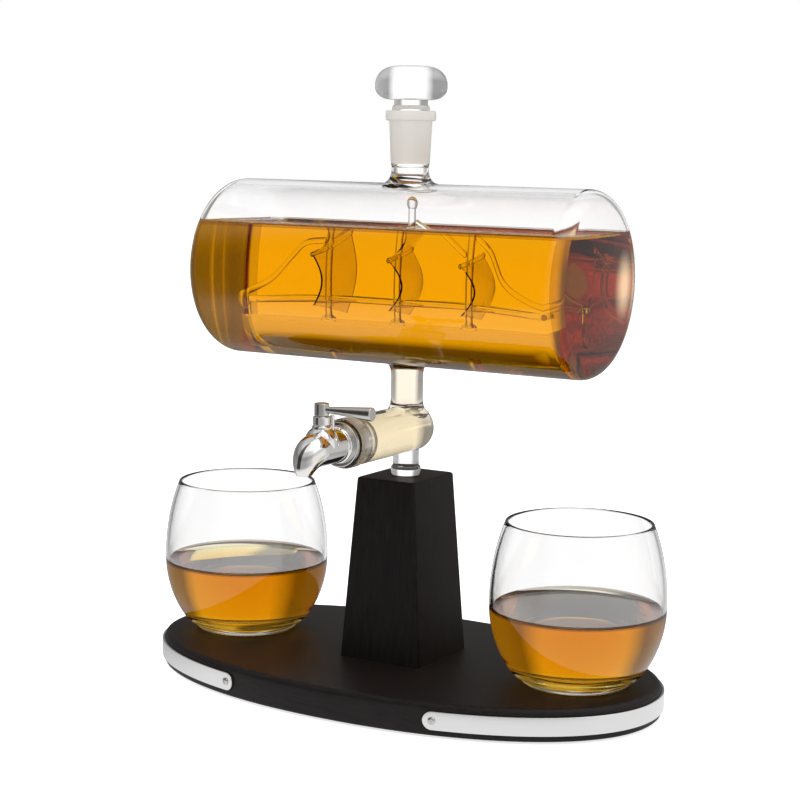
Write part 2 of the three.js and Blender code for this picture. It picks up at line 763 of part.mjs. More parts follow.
function shipHull() {
  const half = hullLength / 2;
  const railEnd = -deckDrop + railEndRise;
  const feet = [foreMastX, mizzenMastX].map((x) => {
    const spread = Math.sqrt(cavityRadius ** 2 - hullFootRadius ** 2) - seatGap;
    return rod(hullFootRadius, -spread, -deckDrop - hullDepth / 2, smallSegments / 2).translate(x, 0, 0);
  });
  const posts = [-half + bowBallRadius, half - sternRingRadius].map((x) =>
    rod(rodRadius, -deckDrop - rodRadius, railEnd, rodSides).translate(x, 0, 0));
  const ring = new THREE.TorusGeometry(sternRingRadius - rodRadius, rodRadius, rodSides, smallSegments)
    .translate(half - sternRingRadius, 0, railEnd);
  const beads = [foreMastX, mainMastX, mizzenMastX].map((x) =>
    new THREE.SphereGeometry(mastBeadRadius, rodSides * 2, rodSides - 1)
      .scale(1, 1, mastBeadHeight / mastBeadRadius)
      .translate(x, 0, -deckDrop));
  const holes = [foreMastX, mainMastX, mizzenMastX].map((x) =>
    rod(mastRadius + seatGap, -deckDrop, -deckDrop + mastBeadHeight + overrun, rodSides * 2)
      .translate(x, 0, 0));
  const whole = unite(...[hull(), rail(-1, rodRadius), rail(1, rodRadius), ...feet, ...posts, ring,
    ball(bowBallRadius, -half, 0, railEnd), ...beads].map(solidOf));
  return cut(whole, ...holes.map(solidOf));
}

// A mast with its yards and the sails below them. The rails pass through the sails.
function rig({ x, height, width, belly, shares, topped }) {
  const levels = shares.heights.map((share) => share * height);
  const widths = shares.widths.map((share) => share * width);
  const parts = [rod(mastRadius, seatGap, height, rodSides * 2)];
  if (topped) parts.push(ball(finialRadius, 0, 0, height));
  levels.slice(0, -1).forEach((top, i) => {
    const [foot, half] = [levels[i + 1], widths[i] / 2];
    parts.push(rod(rodRadius, -half, half, rodSides).rotateX(Math.PI / 2).translate(mastRadius / 2, 0, top));
    parts.push(sheet((u, v) => {
      const side = 2 * u - 1;
      const reach = (widths[i] + (widths[i + 1] - widths[i]) * v - rodRadius) / 2;
      const swell = belly * Math.sin(Math.PI * v) * (1 - sailPinchShare * side ** 2);
      return new THREE.Vector3(mastRadius / 2 + swell, side * reach, top + (foot - top) * v);
    }, 4, 6, sailThickness));
  });
  const whole = unite(...parts.map((part) => solidOf(part.translate(x, 0, -deckDrop))));
  return cut(whole, ...[-1, 1].map((side) => solidOf(rail(side, rodRadius + seatGap))));
}

// A stay, a glass rod bent through points at shares of the way from one end to the other.
function stay(from, to, bendShares) {
  const points = [[0, 0], ...bendShares, [1, 1]].map(([along, up]) =>
    [from[0] + (to[0] - from[0]) * along, 0, from[1] + (to[1] - from[1]) * up]);
  return solidOf(bar(points, rodRadius, 10));
}

function ship() {
  const group = new THREE.Group();
  group.position.z = cylinderHeight;
  group.add(piece('ship_hull', shipHull(), glass));
  const masts = [
    { name: 'ship_fore_mast', x: foreMastX, height: foreMastHeight, width: foreSailWidth,
      belly: foreSailBelly, shares: foreSailShares },
    { name: 'ship_main_mast', x: mainMastX, height: mainMastHeight, width: mainSailWidth,
      belly: mainSailBelly, shares: mainSailShares, topped: true },
    { name: 'ship_mizzen_mast', x: mizzenMastX, height: mizzenMastHeight, width: mizzenSailWidth,
      belly: mainSailBelly, shares: mizzenSailShares },
  ];
  for (const mast of masts) group.add(piece(mast.name, rig(mast), glass));
  const clear = mastRadius + seatGap + rodRadius * stayEndShare;
  const bowFoot = bowBallRadius * bowStayFootShare;
  const upMast = (height, share) => -deckDrop + height * share;
  const railEnd = -deckDrop + railEndRise;
  const stays = {
    ship_bow_stay: stay(
      [-hullLength / 2 + bowFoot, railEnd + bowFoot],
      [foreMastX - clear, upMast(foreMastHeight, bowStayTopShare)],
      bowStayBendShares,
    ),
    ship_main_stay: stay(
      [mainMastX + clear, upMast(mainMastHeight, mainStayTopShare)],
      [mizzenMastX - clear, upMast(mizzenMastHeight, mainStayLowShare)],
      [],
    ),
    ship_stern_stay: stay(
      [mizzenMastX + clear, upMast(mizzenMastHeight, sternStayTopShare)],
      [hullLength / 2 - sternRingRadius, railEnd + rodRadius * 2 + seatGap],
      sternStayBendShares,
    ),
  };
  for (const [name, solid] of Object.entries(stays)) group.add(piece(name, solid, glass));
  return group;
}

// Tap, in a frame whose origin is on the peg's axis at the height of the tap tube

function bung() {
  const rear = tapTubeReach - bungLength;
  const radius = tapBoreRadius - seatGap;
  const seat = rear + bungLength * bungStepShare;
  return cut(
    solidOf(alongTap(rod(radius, rear, tapTubeReach, tubeSegments))),
    solidOf(alongTap(rod(bungBoreRadius, rear - overrun, tapTubeReach, smallSegments))),
    solidOf(alongTap(rod(tailRadius + tailBarb + seatGap, seat, tapTubeReach + overrun, smallSegments))),
  );
}

function washer() {
  const [inner, back] = [tailRadius + runningGap, tapTubeReach];
  return solidOf(alongTap(lathe([
    [inner, back], [washerRadius, back], [washerRadius, washerFront], [inner, washerFront],
  ], tubeSegments)));
}

function flange() {
  const [inner, back] = [tailRadius + runningGap, washerFront];
  const face = back + flangeThickness;
  const step = flangeRadius - flangeStep;
  return solidOf(alongTap(lathe([
    [inner, back],
    ...quarter(flangeRadius - flangeRound, back + flangeRound, flangeRound, -flangeRound, 2).reverse(),
    ...quarter(flangeRadius - flangeRound, face - flangeRound, flangeRound, flangeRound, 2),
    [step, face],
    [step, face + flangeStepHeight],
    [inner, face + flangeStepHeight],
  ], tubeSegments)));
}

// The bent spout as rings round its path, which leaves the barrel level and ends pointing down.
function spoutForm(radiusAt, past) {
  const steps = 8;
  const centre = spoutReach - spoutDrop;
  const path = [
    { share: 0, angle: 0, y: -stemReach, z: 0 },
    ...Array.from({ length: steps + 1 }, (_, i) => {
      const angle = (Math.PI / 2) * (i / steps);
      const [y, z] = [-centre - spoutDrop * Math.sin(angle), spoutDrop * (Math.cos(angle) - 1)];
      return { share: i / steps, angle, y, z };
    }),
    { share: 1, angle: Math.PI / 2, y: -spoutReach, z: -spoutDrop - past },
  ];
  return loft((past ? path : path.slice(0, -1)).map(({ share, angle, y, z }) =>
    Array.from({ length: smallSegments }, (_, i) => {
      const [turn, radius] = [(2 * Math.PI * i) / smallSegments, radiusAt(share)];
      const [across, up] = [radius * Math.cos(turn), radius * Math.sin(turn)];
      return new THREE.Vector3(across, y - up * Math.sin(angle), z + up * Math.cos(angle));
    })));
}

function tapBody() {
  const tailRear = tapTubeReach - bungLength * (1 - tailGapShare);
  const tail = [[0, tailRear], [tailRadius - tailBarb, tailRear]];
  const barbStep = (tapTubeReach - tailRear) / (barbCount + 1);
  for (let i = 1; i <= barbCount; i++) {
    tail.push([tailRadius + tailBarb - runningGap, tailRear + barbStep * (i - 1 / 4)]);
    tail.push([tailRadius - tailBarb, tailRear + barbStep * i]);
  }
  const barrelFront = stemReach + runningGap;
  const outside = [
    alongTap(lathe([
      ...tail,
      [tailRadius - tailBarb, tapTubeReach - barbStep / 2],
      [tailRadius, tapTubeReach - barbStep / 3],
      [tailRadius, flangeFront],
      [shoulderRadius - shoulderLength / 3, flangeFront],
      [shoulderRadius, flangeFront + shoulderLength / 3],
      [shoulderRadius, shoulderFront - shoulderLength / 3],
      [barrelRadius, shoulderFront],
      [barrelRadius, barrelFront],
      [0, barrelFront],
    ], tubeSegments)),
    spoutForm((share) => nozzleRadius + (barrelRadius - nozzleRadius) * (1 - share ** spoutTaperShare), 0),
    lathe([
      [0, 0],
      ...stemShoulderShares.map(([out, up]) => [barrelRadius * out, barrelRadius * up]),
      [stemNeckRadius, stemNeckHeight * stemNeckFootShare],
      [bonnetRadius, stemNeckHeight],
      [0, stemNeckHeight],
    ], smallSegments).translate(0, -stemReach, 0),
  ];
  const cuts = [
    alongTap(rod(tailBoreRadius, tailRear - overrun, stemReach, smallSegments)),
    rod(chamberRadius, -plugHeight / 2 - seatGap, plugHeight / 2 + seatGap, smallSegments)
      .translate(0, -stemReach, 0),
    rod(stemRadius + runningGap, 0, stemNeckHeight + overrun, smallSegments).translate(0, -stemReach, 0),
    spoutForm(() => nozzleRadius - nozzleWall, overrun),
    rod(stopPinRadius + runningGap, barrelRadius - stopPinRoot, barrelRadius + overrun, smallSegments / 2)
      .translate(0, -stemReach + stopPinSetback, 0),
  ];
  return cut(unite(...outside.map(solidOf)), ...cuts.map(solidOf));
}

function bonnet() {
  const [low, high] = [stemNeckHeight + runningGap, stemNeckHeight + runningGap + bonnetHeight];
  const inner = stemRadius + runningGap;
  const outer = bonnetRadius - bonnetRound;
  return solidOf(lathe([
    [inner, low],
    ...quarter(outer, low + bonnetRound, bonnetRound, -bonnetRound, 2).reverse(),
    ...quarter(outer, high - bonnetRound, bonnetRound, bonnetRound, 2),
    [inner, high],
  ], smallSegments).translate(0, -stemReach, 0));
}

function stopPin() {
  return solidOf(lathe([
    [0, barrelRadius - stopPinRoot + runningGap],
    [stopPinRadius, barrelRadius - stopPinRoot + runningGap],
    ...quarter(0, stopPinTop - stopPinRadius / 2, stopPinRadius, stopPinRadius / 2, 3),
  ], smallSegments / 2).translate(0, -stemReach + stopPinSetback, 0));
}

// Valve, in a frame whose origin is where its axis crosses the tap's axis

const capBottom = stemNeckHeight + runningGap + bonnetHeight + seatGap;
const leverLevel = capBottom + capHeight / 2;

// The plug with its cross bore, and the stem that carries the cap. Two grooves hold the seal rings.
function valvePlug() {
  const half = plugHeight / 2;
  const groove = sealSection + runningGap;
  const grooves = [-sealSpacing, sealSpacing].flatMap((z) => [
    [plugRadius, z - groove],
    [plugRadius - sealSection * 2, z - groove],
    [plugRadius - sealSection * 2, z + groove],
    [plugRadius, z + groove],
  ]);
  const body = lathe([
    [0, -half],
    [plugRadius, -half],
    ...grooves,
    [plugRadius, half],
    [stemRadius, half],
    [stemRadius, capBottom - runningGap],
    [0, capBottom - runningGap],
  ], smallSegments);
  const bore = rod(plugBoreRadius, -plugRadius - overrun, plugRadius + overrun, smallSegments);
  return cut(solidOf(body), solidOf(alongX(bore)));
}

function sealRing(z) {
  const middle = plugRadius - sealSection + runningGap / 4;
  return solidOf(new THREE.TorusGeometry(middle, sealSection, rodSides, smallSegments).translate(0, 0, z));
}

function valveCap() {
  const [low, high] = [capBottom, capBottom + capHeight];
  const outer = capRadius - capRound;
  const whole = lathe([
    [0, low],
    ...quarter(outer, low + capRound, capRound, -capRound, 2).reverse(),
    ...quarter(outer, high - capRound, capRound, capRound, 2),
    [0, high],
  ], smallSegments);
  const hole = alongX(rod(leverRootRadius + runningGap, 0, capRadius + overrun, smallSegments))
    .translate(0, 0, leverLevel);
  return cut(solidOf(whole), solidOf(hole));
}

// The lever, a cone that widens from the cap to its flat end.
function lever() {
  const end = leverEndRadius - leverEndRound;
  return solidOf(alongX(lathe([
    [0, runningGap],
    [leverRootRadius, runningGap],
    [leverRootRadius, capRadius + seatGap],
    ...quarter(end, leverLength - leverEndRound, leverEndRound, leverEndRound, 2),
    [0, leverLength],
  ], smallSegments)).translate(0, 0, leverLevel));
}

function valve() {
  const group = new THREE.Group();
  group.position.y = -stemReach;
  group.add(
    piece('valve_plug', valvePlug(), steel),
    piece('valve_seal_lower', sealRing(-sealSpacing), rubber),
    piece('valve_seal_upper', sealRing(sealSpacing), rubber),
    piece('valve_cap', valveCap(), brushedSteel),
    piece('tap_lever', lever(), brushedSteel),
  );
  return group;
}

function tap() {
  const group = new THREE.Group();
  group.position.z = tapTubeHeight;
  group.add(
    piece('tap_bung', bung(), silicone),
    piece('tap_washer', washer(), rubber),
    piece('tap_flange', flange(), brushedSteel),
    piece('tap_body', tapBody(), steel),
    piece('tap_bonnet', bonnet(), steel),
    piece('tap_stop_pin', stopPin(), steel),
    valve(),
  );
  return group;
}

// Tumblers

function tumblerOuterRadius(z) {
  const below = z < tumblerBellyHeight;
  const edge = below ? tumblerFootRadius : tumblerRimRadius;
  const span = below ? tumblerBellyHeight : tumblerHeight - tumblerBellyHeight;
  const drawnIn = 1 - (edge / tumblerBellyRadius) ** 2;
  return tumblerBellyRadius * Math.sqrt(1 - drawnIn * ((z - tumblerBellyHeight) / span) ** 2);
}

function tumbler() {
  const lip = tumblerWall / 2;
  const levels = (from, to, steps) =>
    Array.from({ length: steps + 1 }, (_, i) => from + ((to - from) * i) / steps);
  const outside = levels(tumblerFootRound, tumblerHeight - lip, 8).map((z) => [tumblerOuterRadius(z), z]);
  const turn = tumblerFloor + tumblerBellyHeight * tumblerFloorTurnShare;
  const inside = levels(tumblerHeight - lip, turn, 5).map((z) => [tumblerOuterRadius(z) - tumblerWall, z]);
  const reach = tumblerOuterRadius(turn) - tumblerWall;
  const floor = quarter(0, turn, reach, tumblerFloor - turn, 3, tumblerFloorRoundShare).slice(1);
  const rim = tumblerOuterRadius(tumblerHeight);
  return lathe([
    [0, 0],
    [tumblerFootRadius - tumblerFootRound, 0],
    ...outside,
    ...tumblerLipShares.map((share) => [rim - tumblerWall * share, tumblerHeight]),
    ...inside,
    ...floor,
  ], tumblerSegments);
}

function tumblers() {
  return [['tumbler_left', -1], ['tumbler_right', 1]].map(([name, side]) => {
    const mesh = piece(name, solidOf(tumbler()), glass);
    mesh.position.set((side * tumblerSpacing) / 2, 0, boardTop);
    return mesh;
  });
}

// The whole dispenser

function stand() {
  const group = new THREE.Group();
  group.add(
    piece('base_pad', pad(), rubber),
    piece('base_board', board(), darkWood),
    piece('pedestal', pedestal(), darkWood),
    piece('band_left', band(-1), brushedSteel),
    piece('band_right', band(1), brushedSteel),
  );
  pedestalScrewPlaces().forEach((y) => {
    group.add(piece(`pedestal_screw_${y < 0 ? 'front' : 'rear'}`, pedestalScrew(y), steel));
  });
  bandScrewPlaces().forEach((place) => {
    const name = `band_screw_${place.end < 0 ? 'left' : 'right'}_${place.side < 0 ? 'front' : 'rear'}`;
    group.add(piece(name, bandScrew(place), steel));
  });
  return group;
}

function decanter() {
  const group = new THREE.Group();
  group.position.z = pedestalTop;
  group.add(
    piece('socket_sleeve', sleeve(), rubber),
    piece('decanter_glass', decanterGlass(), glass),
    piece('stopper', stopper(), glass),
    ship(),
    tap(),
  );
  return group;
}

const dispenser = new THREE.Group();
dispenser.add(stand(), decanter(), ...tumblers());

export default dispenser;
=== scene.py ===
# A whiskey dispenser: a clear glass cylinder with a blown ship inside lies on a stained wooden stand
# with steel bands. A steel lever tap drains it, and two filled tumblers stand on the board.
# Metres, +Z up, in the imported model's frame. The pieces are shaped in millimetres and scaled at the end.

import bpy
import bmesh
import math
from mathutils import Matrix, Quaternion, Vector
from mathutils.bvhtree import BVHTree


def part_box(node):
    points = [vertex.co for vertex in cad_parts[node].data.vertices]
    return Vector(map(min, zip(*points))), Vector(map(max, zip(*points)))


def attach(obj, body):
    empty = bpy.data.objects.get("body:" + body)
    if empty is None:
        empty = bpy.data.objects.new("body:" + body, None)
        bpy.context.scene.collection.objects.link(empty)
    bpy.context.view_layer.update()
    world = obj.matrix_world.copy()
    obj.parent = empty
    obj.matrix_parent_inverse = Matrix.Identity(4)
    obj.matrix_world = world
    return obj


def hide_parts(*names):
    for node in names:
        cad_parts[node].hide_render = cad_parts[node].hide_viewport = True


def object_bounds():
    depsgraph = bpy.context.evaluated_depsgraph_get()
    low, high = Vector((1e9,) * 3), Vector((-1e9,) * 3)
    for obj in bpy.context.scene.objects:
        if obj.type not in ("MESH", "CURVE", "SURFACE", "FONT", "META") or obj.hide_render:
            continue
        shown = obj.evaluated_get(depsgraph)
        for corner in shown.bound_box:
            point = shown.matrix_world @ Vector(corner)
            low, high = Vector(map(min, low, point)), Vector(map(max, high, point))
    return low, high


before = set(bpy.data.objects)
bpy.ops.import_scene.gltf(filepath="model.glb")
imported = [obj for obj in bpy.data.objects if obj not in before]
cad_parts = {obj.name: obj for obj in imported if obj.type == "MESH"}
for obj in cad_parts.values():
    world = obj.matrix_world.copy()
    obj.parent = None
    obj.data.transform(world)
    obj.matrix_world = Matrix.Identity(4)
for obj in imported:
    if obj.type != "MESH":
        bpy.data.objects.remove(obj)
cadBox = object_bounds()
scene = bpy.context.scene
mm = 0.001
print("frame loaded:", len(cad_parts), "nodes")


# Levels and places, read from the frame, in millimetres

def edge(node, side, axis):
    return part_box(node)[side][axis] / mm


def middleX(node):
    return (edge(node, 0, 0) + edge(node, 1, 0)) / 2


boardTop = edge("base_board", 1, 2)
boardFoot = edge("base_board", 0, 2)
pedestalTop = edge("pedestal", 1, 2)
tumblerPlaces = {side: middleX("tumbler_" + side) for side in ("left", "right")}


# Camera, at the photograph's angle

view = {
    "azimuth": 30.907,  # degrees, 0 looks along +Y
    "elevation": 7.998,
    "distance": 967.83,  # mm
    "target": (-3.85, 0, 142.83),
    "roll": 0.8167,
    "lens": 88.62,
    "sensor": 36,
    "nearest": 10,
}


def makeCamera():
    camera = bpy.data.objects.new("camera", bpy.data.cameras.new("camera"))
    scene.collection.objects.link(camera)
    a, e = math.radians(view["azimuth"]), math.radians(view["elevation"])
    back = Vector((math.sin(a) * math.cos(e), -math.cos(a) * math.cos(e), math.sin(e)))
    camera.location = (Vector(view["target"]) + back * view["distance"]) * mm
    camera.rotation_mode = "QUATERNION"
    turn = Quaternion((0, 0, 1), math.radians(view["roll"]))
    camera.rotation_quaternion = (-back).to_track_quat("-Z", "Y") @ turn
    camera.data.lens = view["lens"]
    camera.data.sensor_width = view["sensor"]
    camera.data.clip_start = view["nearest"] * mm
    scene.camera = camera


makeCamera()
scene.view_settings.view_transform = "Standard"
scene.cycles.max_bounces = 32
scene.cycles.transmission_bounces = 32
scene.cycles.glossy_bounces = 8
scene.cycles.transparent_max_bounces = 24


# Colours and nodes

def colour(hexCode):
    parts = [int(hexCode[i:i + 2], 16) / 255 for i in (1, 3, 5)]
    return tuple(p / 12.92 if p <= 0.04045 else ((p + 0.055) / 1.055) ** 2.4 for p in parts) + (1,)


def addNode(tree, kind, values=None, links=None, **settings):
    node = tree.nodes.new(kind)
    for name, value in settings.items():
        setattr(node, name, value)
    for socket, value in (values or {}).items():
        node.inputs[socket].default_value = value
    for socket, source in (links or {}).items():
        tree.links.new(source, node.inputs[socket])
    return node


def startMaterial(name):
    material = bpy.data.materials.new(name)
    material.use_nodes = True
    material.node_tree.nodes.clear()
    return material, material.node_tree


# Glass and whiskey. A clear, perfectly smooth body that lets lamplight through, with what it takes from it.

def clearBody(name, look):
    material, tree = startMaterial(name)
    body = addNode(tree, "ShaderNodeBsdfPrincipled", {
        "Base Color": colour(look["tint"]),
        "Roughness": 0,
        "IOR": look["ior"],
        "Transmission Weight": 1,
    })
    if look.get("wallIor"):
        free = addNode(tree, "ShaderNodeAttribute", attribute_name="freeSurface")
        bend = addNode(tree, "ShaderNodeMapRange", {"To Min": look["wallIor"], "To Max": look["ior"]},
                       {"Value": free.outputs["Fac"]})
        tree.links.new(bend.outputs[0], body.inputs["IOR"])
    if look.get("ripple"):
        place = addNode(tree, "ShaderNodeTexCoord")
        waves = addNode(tree, "ShaderNodeTexNoise", {"Scale": 1 / (look["ripple"] * mm), "Detail": 3},
                        {"Vector": place.outputs["Object"]})
        rough = addNode(tree, "ShaderNodeBump", {"Distance": look["rippleHeight"] * mm},
                        {"Height": waves.outputs[0], "Strength": free.outputs["Fac"]})
        tree.links.new(rough.outputs[0], body.inputs["Normal"])
    path = addNode(tree, "ShaderNodeLightPath")
    through = addNode(tree, "ShaderNodeBsdfTransparent")
    mixed = addNode(tree, "ShaderNodeMixShader", links={
        0: path.outputs["Is Shadow Ray"], 1: body.outputs[0], 2: through.outputs[0],
    })
    output = addNode(tree, "ShaderNodeOutputMaterial", links={"Surface": mixed.outputs[0]})
    if look.get("density"):
        depth = addNode(tree, "ShaderNodeVolumeAbsorption", {
            "Color": colour(look["depthTint"]), "Density": look["density"],
        })
        tree.links.new(depth.outputs[0], output.inputs["Volume"])
    return material


# Borosilicate glass, blown and fire polished: colourless, and a little grey where it is looked at edge on.
blownGlass = clearBody("blownBorosilicateGlass", {
    "tint": "#FFFFFF", "ior": 1.47,
})
# The inside of the same glass where whiskey wets it: it bends light only by the ratio of the two indices.
wettedGlass = clearBody("wettedBorosilicateGlass", {
    "tint": "#FFFFFF", "ior": 1.081,
})
# The wetted ends of the cylinder, which are seen down its length. Their grey tint is painted shade: it
# darkens what shows through the ends.
paintedEndShade = clearBody("endGlassPaintedShade", {
    "tint": "#C3C0BC", "ior": 1.081,
})
# The same glass at the rim of the whiskey, where it climbs the wall. Its brown tint is painted shade,
# standing in for the dark that the climbing whiskey bends in from behind.
paintedRimShade = clearBody("rimGlassPaintedShade", {
    "tint": "#B4A598", "ior": 1.081,
})
# The same glass under whiskey, whose edges show only as far as the two indices differ.
sunkGlass = clearBody("blownGlassUnderWhiskey", {
    "tint": "#FFFFFF", "ior": 1.28,
})
# Whiskey at 40 %: straw where it is thin, amber at the width of the cylinder. It mirrors and bends light
# at its free surface only, because the wetted glass does so at the wall.
whiskey = clearBody("whiskey", {
    "tint": "#FFFFFF", "ior": 1.36, "wallIor": 1.0, "density": 100, "depthTint": "#FDF156",
    "ripple": 2.6, "rippleHeight": 0.5,
})
# The same whiskey in the narrow neck and tube, where the eye sees it as pale straw.
thinWhiskey = clearBody("whiskeyInTheNeck", {
    "tint": "#FFFFFF", "ior": 1.36, "wallIor": 1.0, "density": 40, "depthTint": "#F0D98F",
})
# The same whiskey in the tumblers, whose round sides make it look a little deeper.
tumblerWhiskey = clearBody("whiskeyInTheTumblers", {
    "tint": "#FFFFFF", "ior": 1.36, "wallIor": 1.0, "density": 100, "depthTint": "#F8E652",
})
# The thick hull under whiskey. Its warm grey tint is painted shade, which dims the hull against the whiskey.
paintedHullShade = clearBody("hullUnderWhiskeyPaintedShade", {
    "tint": "#F2ECDC", "ior": 1.16,
})
# A sheet of glass under whiskey. Its warm grey tint is painted shade: it darkens the sails against the
# whiskey.
paintedSailShade = clearBody("sheetUnderWhiskeyPaintedShade", {
    "tint": "#E9E2D2", "ior": 1.2,
})


# Ground joint: the same glass, ground matt with fine grit, which makes it a milky light grey.
def groundJoint():
    look = {
        "tint": "#FAF8F5", "roughness": 0.42, "ior": 1.47, "milk": 0.5, "shade": "#D8D8D8",
        "grit": 0.4, "relief": 0.02, "bump": 0.15,  # mm, mm and strength
    }
    material, tree = startMaterial("groundGlassJoint")
    place = addNode(tree, "ShaderNodeTexCoord")
    grit = addNode(tree, "ShaderNodeTexNoise", {"Scale": 1 / (look["grit"] * mm), "Detail": 2},
                   {"Vector": place.outputs["Object"]})
    bump = addNode(tree, "ShaderNodeBump", {"Strength": look["bump"], "Distance": look["relief"] * mm},
                   {"Height": grit.outputs[0]})
    body = addNode(tree, "ShaderNodeBsdfPrincipled", {
        "Base Color": colour(look["tint"]), "Roughness": look["roughness"], "IOR": look["ior"],
        "Transmission Weight": 1 - look["milk"],
    }, {"Normal": bump.outputs[0]})
    path = addNode(tree, "ShaderNodeLightPath")
    through = addNode(tree, "ShaderNodeBsdfTransparent", {"Color": colour(look["shade"])})
    mixed = addNode(tree, "ShaderNodeMixShader", links={
        0: path.outputs["Is Shadow Ray"], 1: body.outputs[0], 2: through.outputs[0],
    })
    addNode(tree, "ShaderNodeOutputMaterial", links={"Surface": mixed.outputs[0]})
    return material


# Wood stained espresso and sprayed with satin lacquer: nearly black, and the grain just shows in its shine.
def stainedWood(name, alongAxis, gloss):
    look = {
        "dark": "#120F0F", "light": "#1E1919", "contrast": (0.35, 0.7), "roughness": (0.42, 0.52), "ior": 1.5,
        "grainWidth": 1.1, "grainLength": 45, "relief": 0.05,  # mm
        "bendLength": 60, "bend": 6, "bump": 0.25,  # mm, grain widths and strength
    }
    material, tree = startMaterial(name)
    place = addNode(tree, "ShaderNodeTexCoord")
    across, along = 1 / (look["grainWidth"] * mm), 1 / (look["grainLength"] * mm)
    scale = [along if axis == alongAxis else across for axis in "XYZ"]
    stretched = addNode(tree, "ShaderNodeMapping", {"Scale": scale}, {"Vector": place.outputs["Object"]})
    bend = addNode(tree, "ShaderNodeTexNoise", {"Scale": 1 / (look["bendLength"] * mm), "Detail": 1},
                   {"Vector": place.outputs["Object"]})
    wander = addNode(tree, "ShaderNodeVectorMath", {"Scale": look["bend"]}, {0: bend.outputs["Color"]},
                     operation="SCALE")
    bent = addNode(tree, "ShaderNodeVectorMath", links={0: stretched.outputs[0], 1: wander.outputs[0]},
                   operation="ADD")
    grain = addNode(tree, "ShaderNodeTexNoise", {"Scale": 1, "Detail": 4, "Roughness": 0.6},
                    {"Vector": bent.outputs[0]})
    faint, strong = look["contrast"]
    tone = addNode(tree, "ShaderNodeMapRange", {"From Min": faint, "From Max": strong},
                   {"Value": grain.outputs[0]})
    stain = addNode(tree, "ShaderNodeMix", {6: colour(look["dark"]), 7: colour(look["light"])},
                    {0: tone.outputs[0]}, data_type="RGBA")
    smooth, dull = look["roughness"]
    shine = addNode(tree, "ShaderNodeMapRange", {"To Min": smooth, "To Max": dull},
                    {"Value": grain.outputs[0]})
    bump = addNode(tree, "ShaderNodeBump", {"Strength": look["bump"], "Distance": look["relief"] * mm},
                   {"Height": grain.outputs[0]})
    body = addNode(tree, "ShaderNodeBsdfPrincipled", {"IOR": look["ior"], "Specular IOR Level": gloss},
                   {"Base Color": stain.outputs[2], "Roughness": shine.outputs[0], "Normal": bump.outputs[0]})
    addNode(tree, "ShaderNodeOutputMaterial", links={"Surface": body.outputs[0]})
    return material


# Steel parts. Their pattern is fine scratches, stretched along the way they were worked.
def workedSteel(name, look):
    relief = 0.02  # mm
    finest, coarsest = 0.8, 1.25  # shares of the roughness, between and along the scratches
    smooth, dull = look["roughness"] * finest, look["roughness"] * coarsest
    material, tree = startMaterial(name)
    place = addNode(tree, "ShaderNodeTexCoord")
    scale = [1 / (size * mm) for size in look["scratch"]]
    stretched = addNode(tree, "ShaderNodeMapping", {"Scale": scale}, {"Vector": place.outputs["Object"]})
    scratch = addNode(tree, "ShaderNodeTexNoise", {"Scale": 1, "Detail": 3, "Roughness": 0.65},
                      {"Vector": stretched.outputs[0]})
    shine = addNode(tree, "ShaderNodeMapRange", {"To Min": smooth, "To Max": dull},
                    {"Value": scratch.outputs[0]})
    bump = addNode(tree, "ShaderNodeBump", {"Strength": look["bump"], "Distance": relief * mm},
                   {"Height": scratch.outputs[0]})
    body = addNode(tree, "ShaderNodeBsdfPrincipled", {"Base Color": colour(look["tint"]), "Metallic": 1},
                   {"Roughness": shine.outputs[0], "Normal": bump.outputs[0]})
    addNode(tree, "ShaderNodeOutputMaterial", links={"Surface": body.outputs[0]})
    return material


# Stainless steel, cast and buffed to a mirror on a cloth wheel: it shows the room, with hardly a scratch.
mirrorSteel = workedSteel("buffedStainlessSteel", {
    "tint": "#F0EEEB", "roughness": 0.03, "scratch": (3, 3, 3), "bump": 0.02,
})
# Stainless steel, turned and left satin: the fine marks of the tool blur what it mirrors.
satinSteel = workedSteel("turnedSatinSteel", {
    "tint": "#CFCDC9", "roughness": 0.22, "scratch": (0.3, 0.3, 0.3), "bump": 0.25,
})
# Stainless strip, ground lengthwise: nearly white in the light, with fine lines along it.
stripSteel = workedSteel("groundStripSteel", {
    "tint": "#E4E4E4", "roughness": 0.24, "scratch": (14, 14, 0.25), "bump": 0.2,
})


# Rubber and silicone, moulded: dull, with the fine grain of the mould.
def mouldedRubber(name, look):
    relief, strength = 0.03, 0.3  # mm and share
    material, tree = startMaterial(name)
    place = addNode(tree, "ShaderNodeTexCoord")
    grain = addNode(tree, "ShaderNodeTexNoise", {"Scale": 1 / (look["grain"] * mm), "Detail": 2},
                    {"Vector": place.outputs["Object"]})
    bump = addNode(tree, "ShaderNodeBump", {"Strength": strength, "Distance": relief * mm},
                   {"Height": grain.outputs[0]})
    body = addNode(tree, "ShaderNodeBsdfPrincipled", {
        "Base Color": colour(look["tint"]), "Roughness": look["roughness"], "IOR": look["ior"],
        "Transmission Weight": look.get("clear", 0),
    }, {"Normal": bump.outputs[0]})
    addNode(tree, "ShaderNodeOutputMaterial", links={"Surface": body.outputs[0]})
    return material


blackRubber = mouldedRubber("mouldedBlackRubber", {
    "tint": "#161616", "roughness": 0.6, "ior": 1.5, "grain": 0.4,
})
silicone = mouldedRubber("mouldedClearSilicone", {
    "tint": "#F0EEEA", "roughness": 0.22, "ior": 1.41, "grain": 0.5, "clear": 0.85,
})
groundGlass = groundJoint()
boardWood = stainedWood("stainedWoodBoard", "X", 0.2)
pedestalWood = stainedWood("stainedWoodPedestal", "Z", 0.12)
print("materials made")


# Mesh making, in millimetres

overrun = 2  # how far a cutting shape reaches past what it cuts


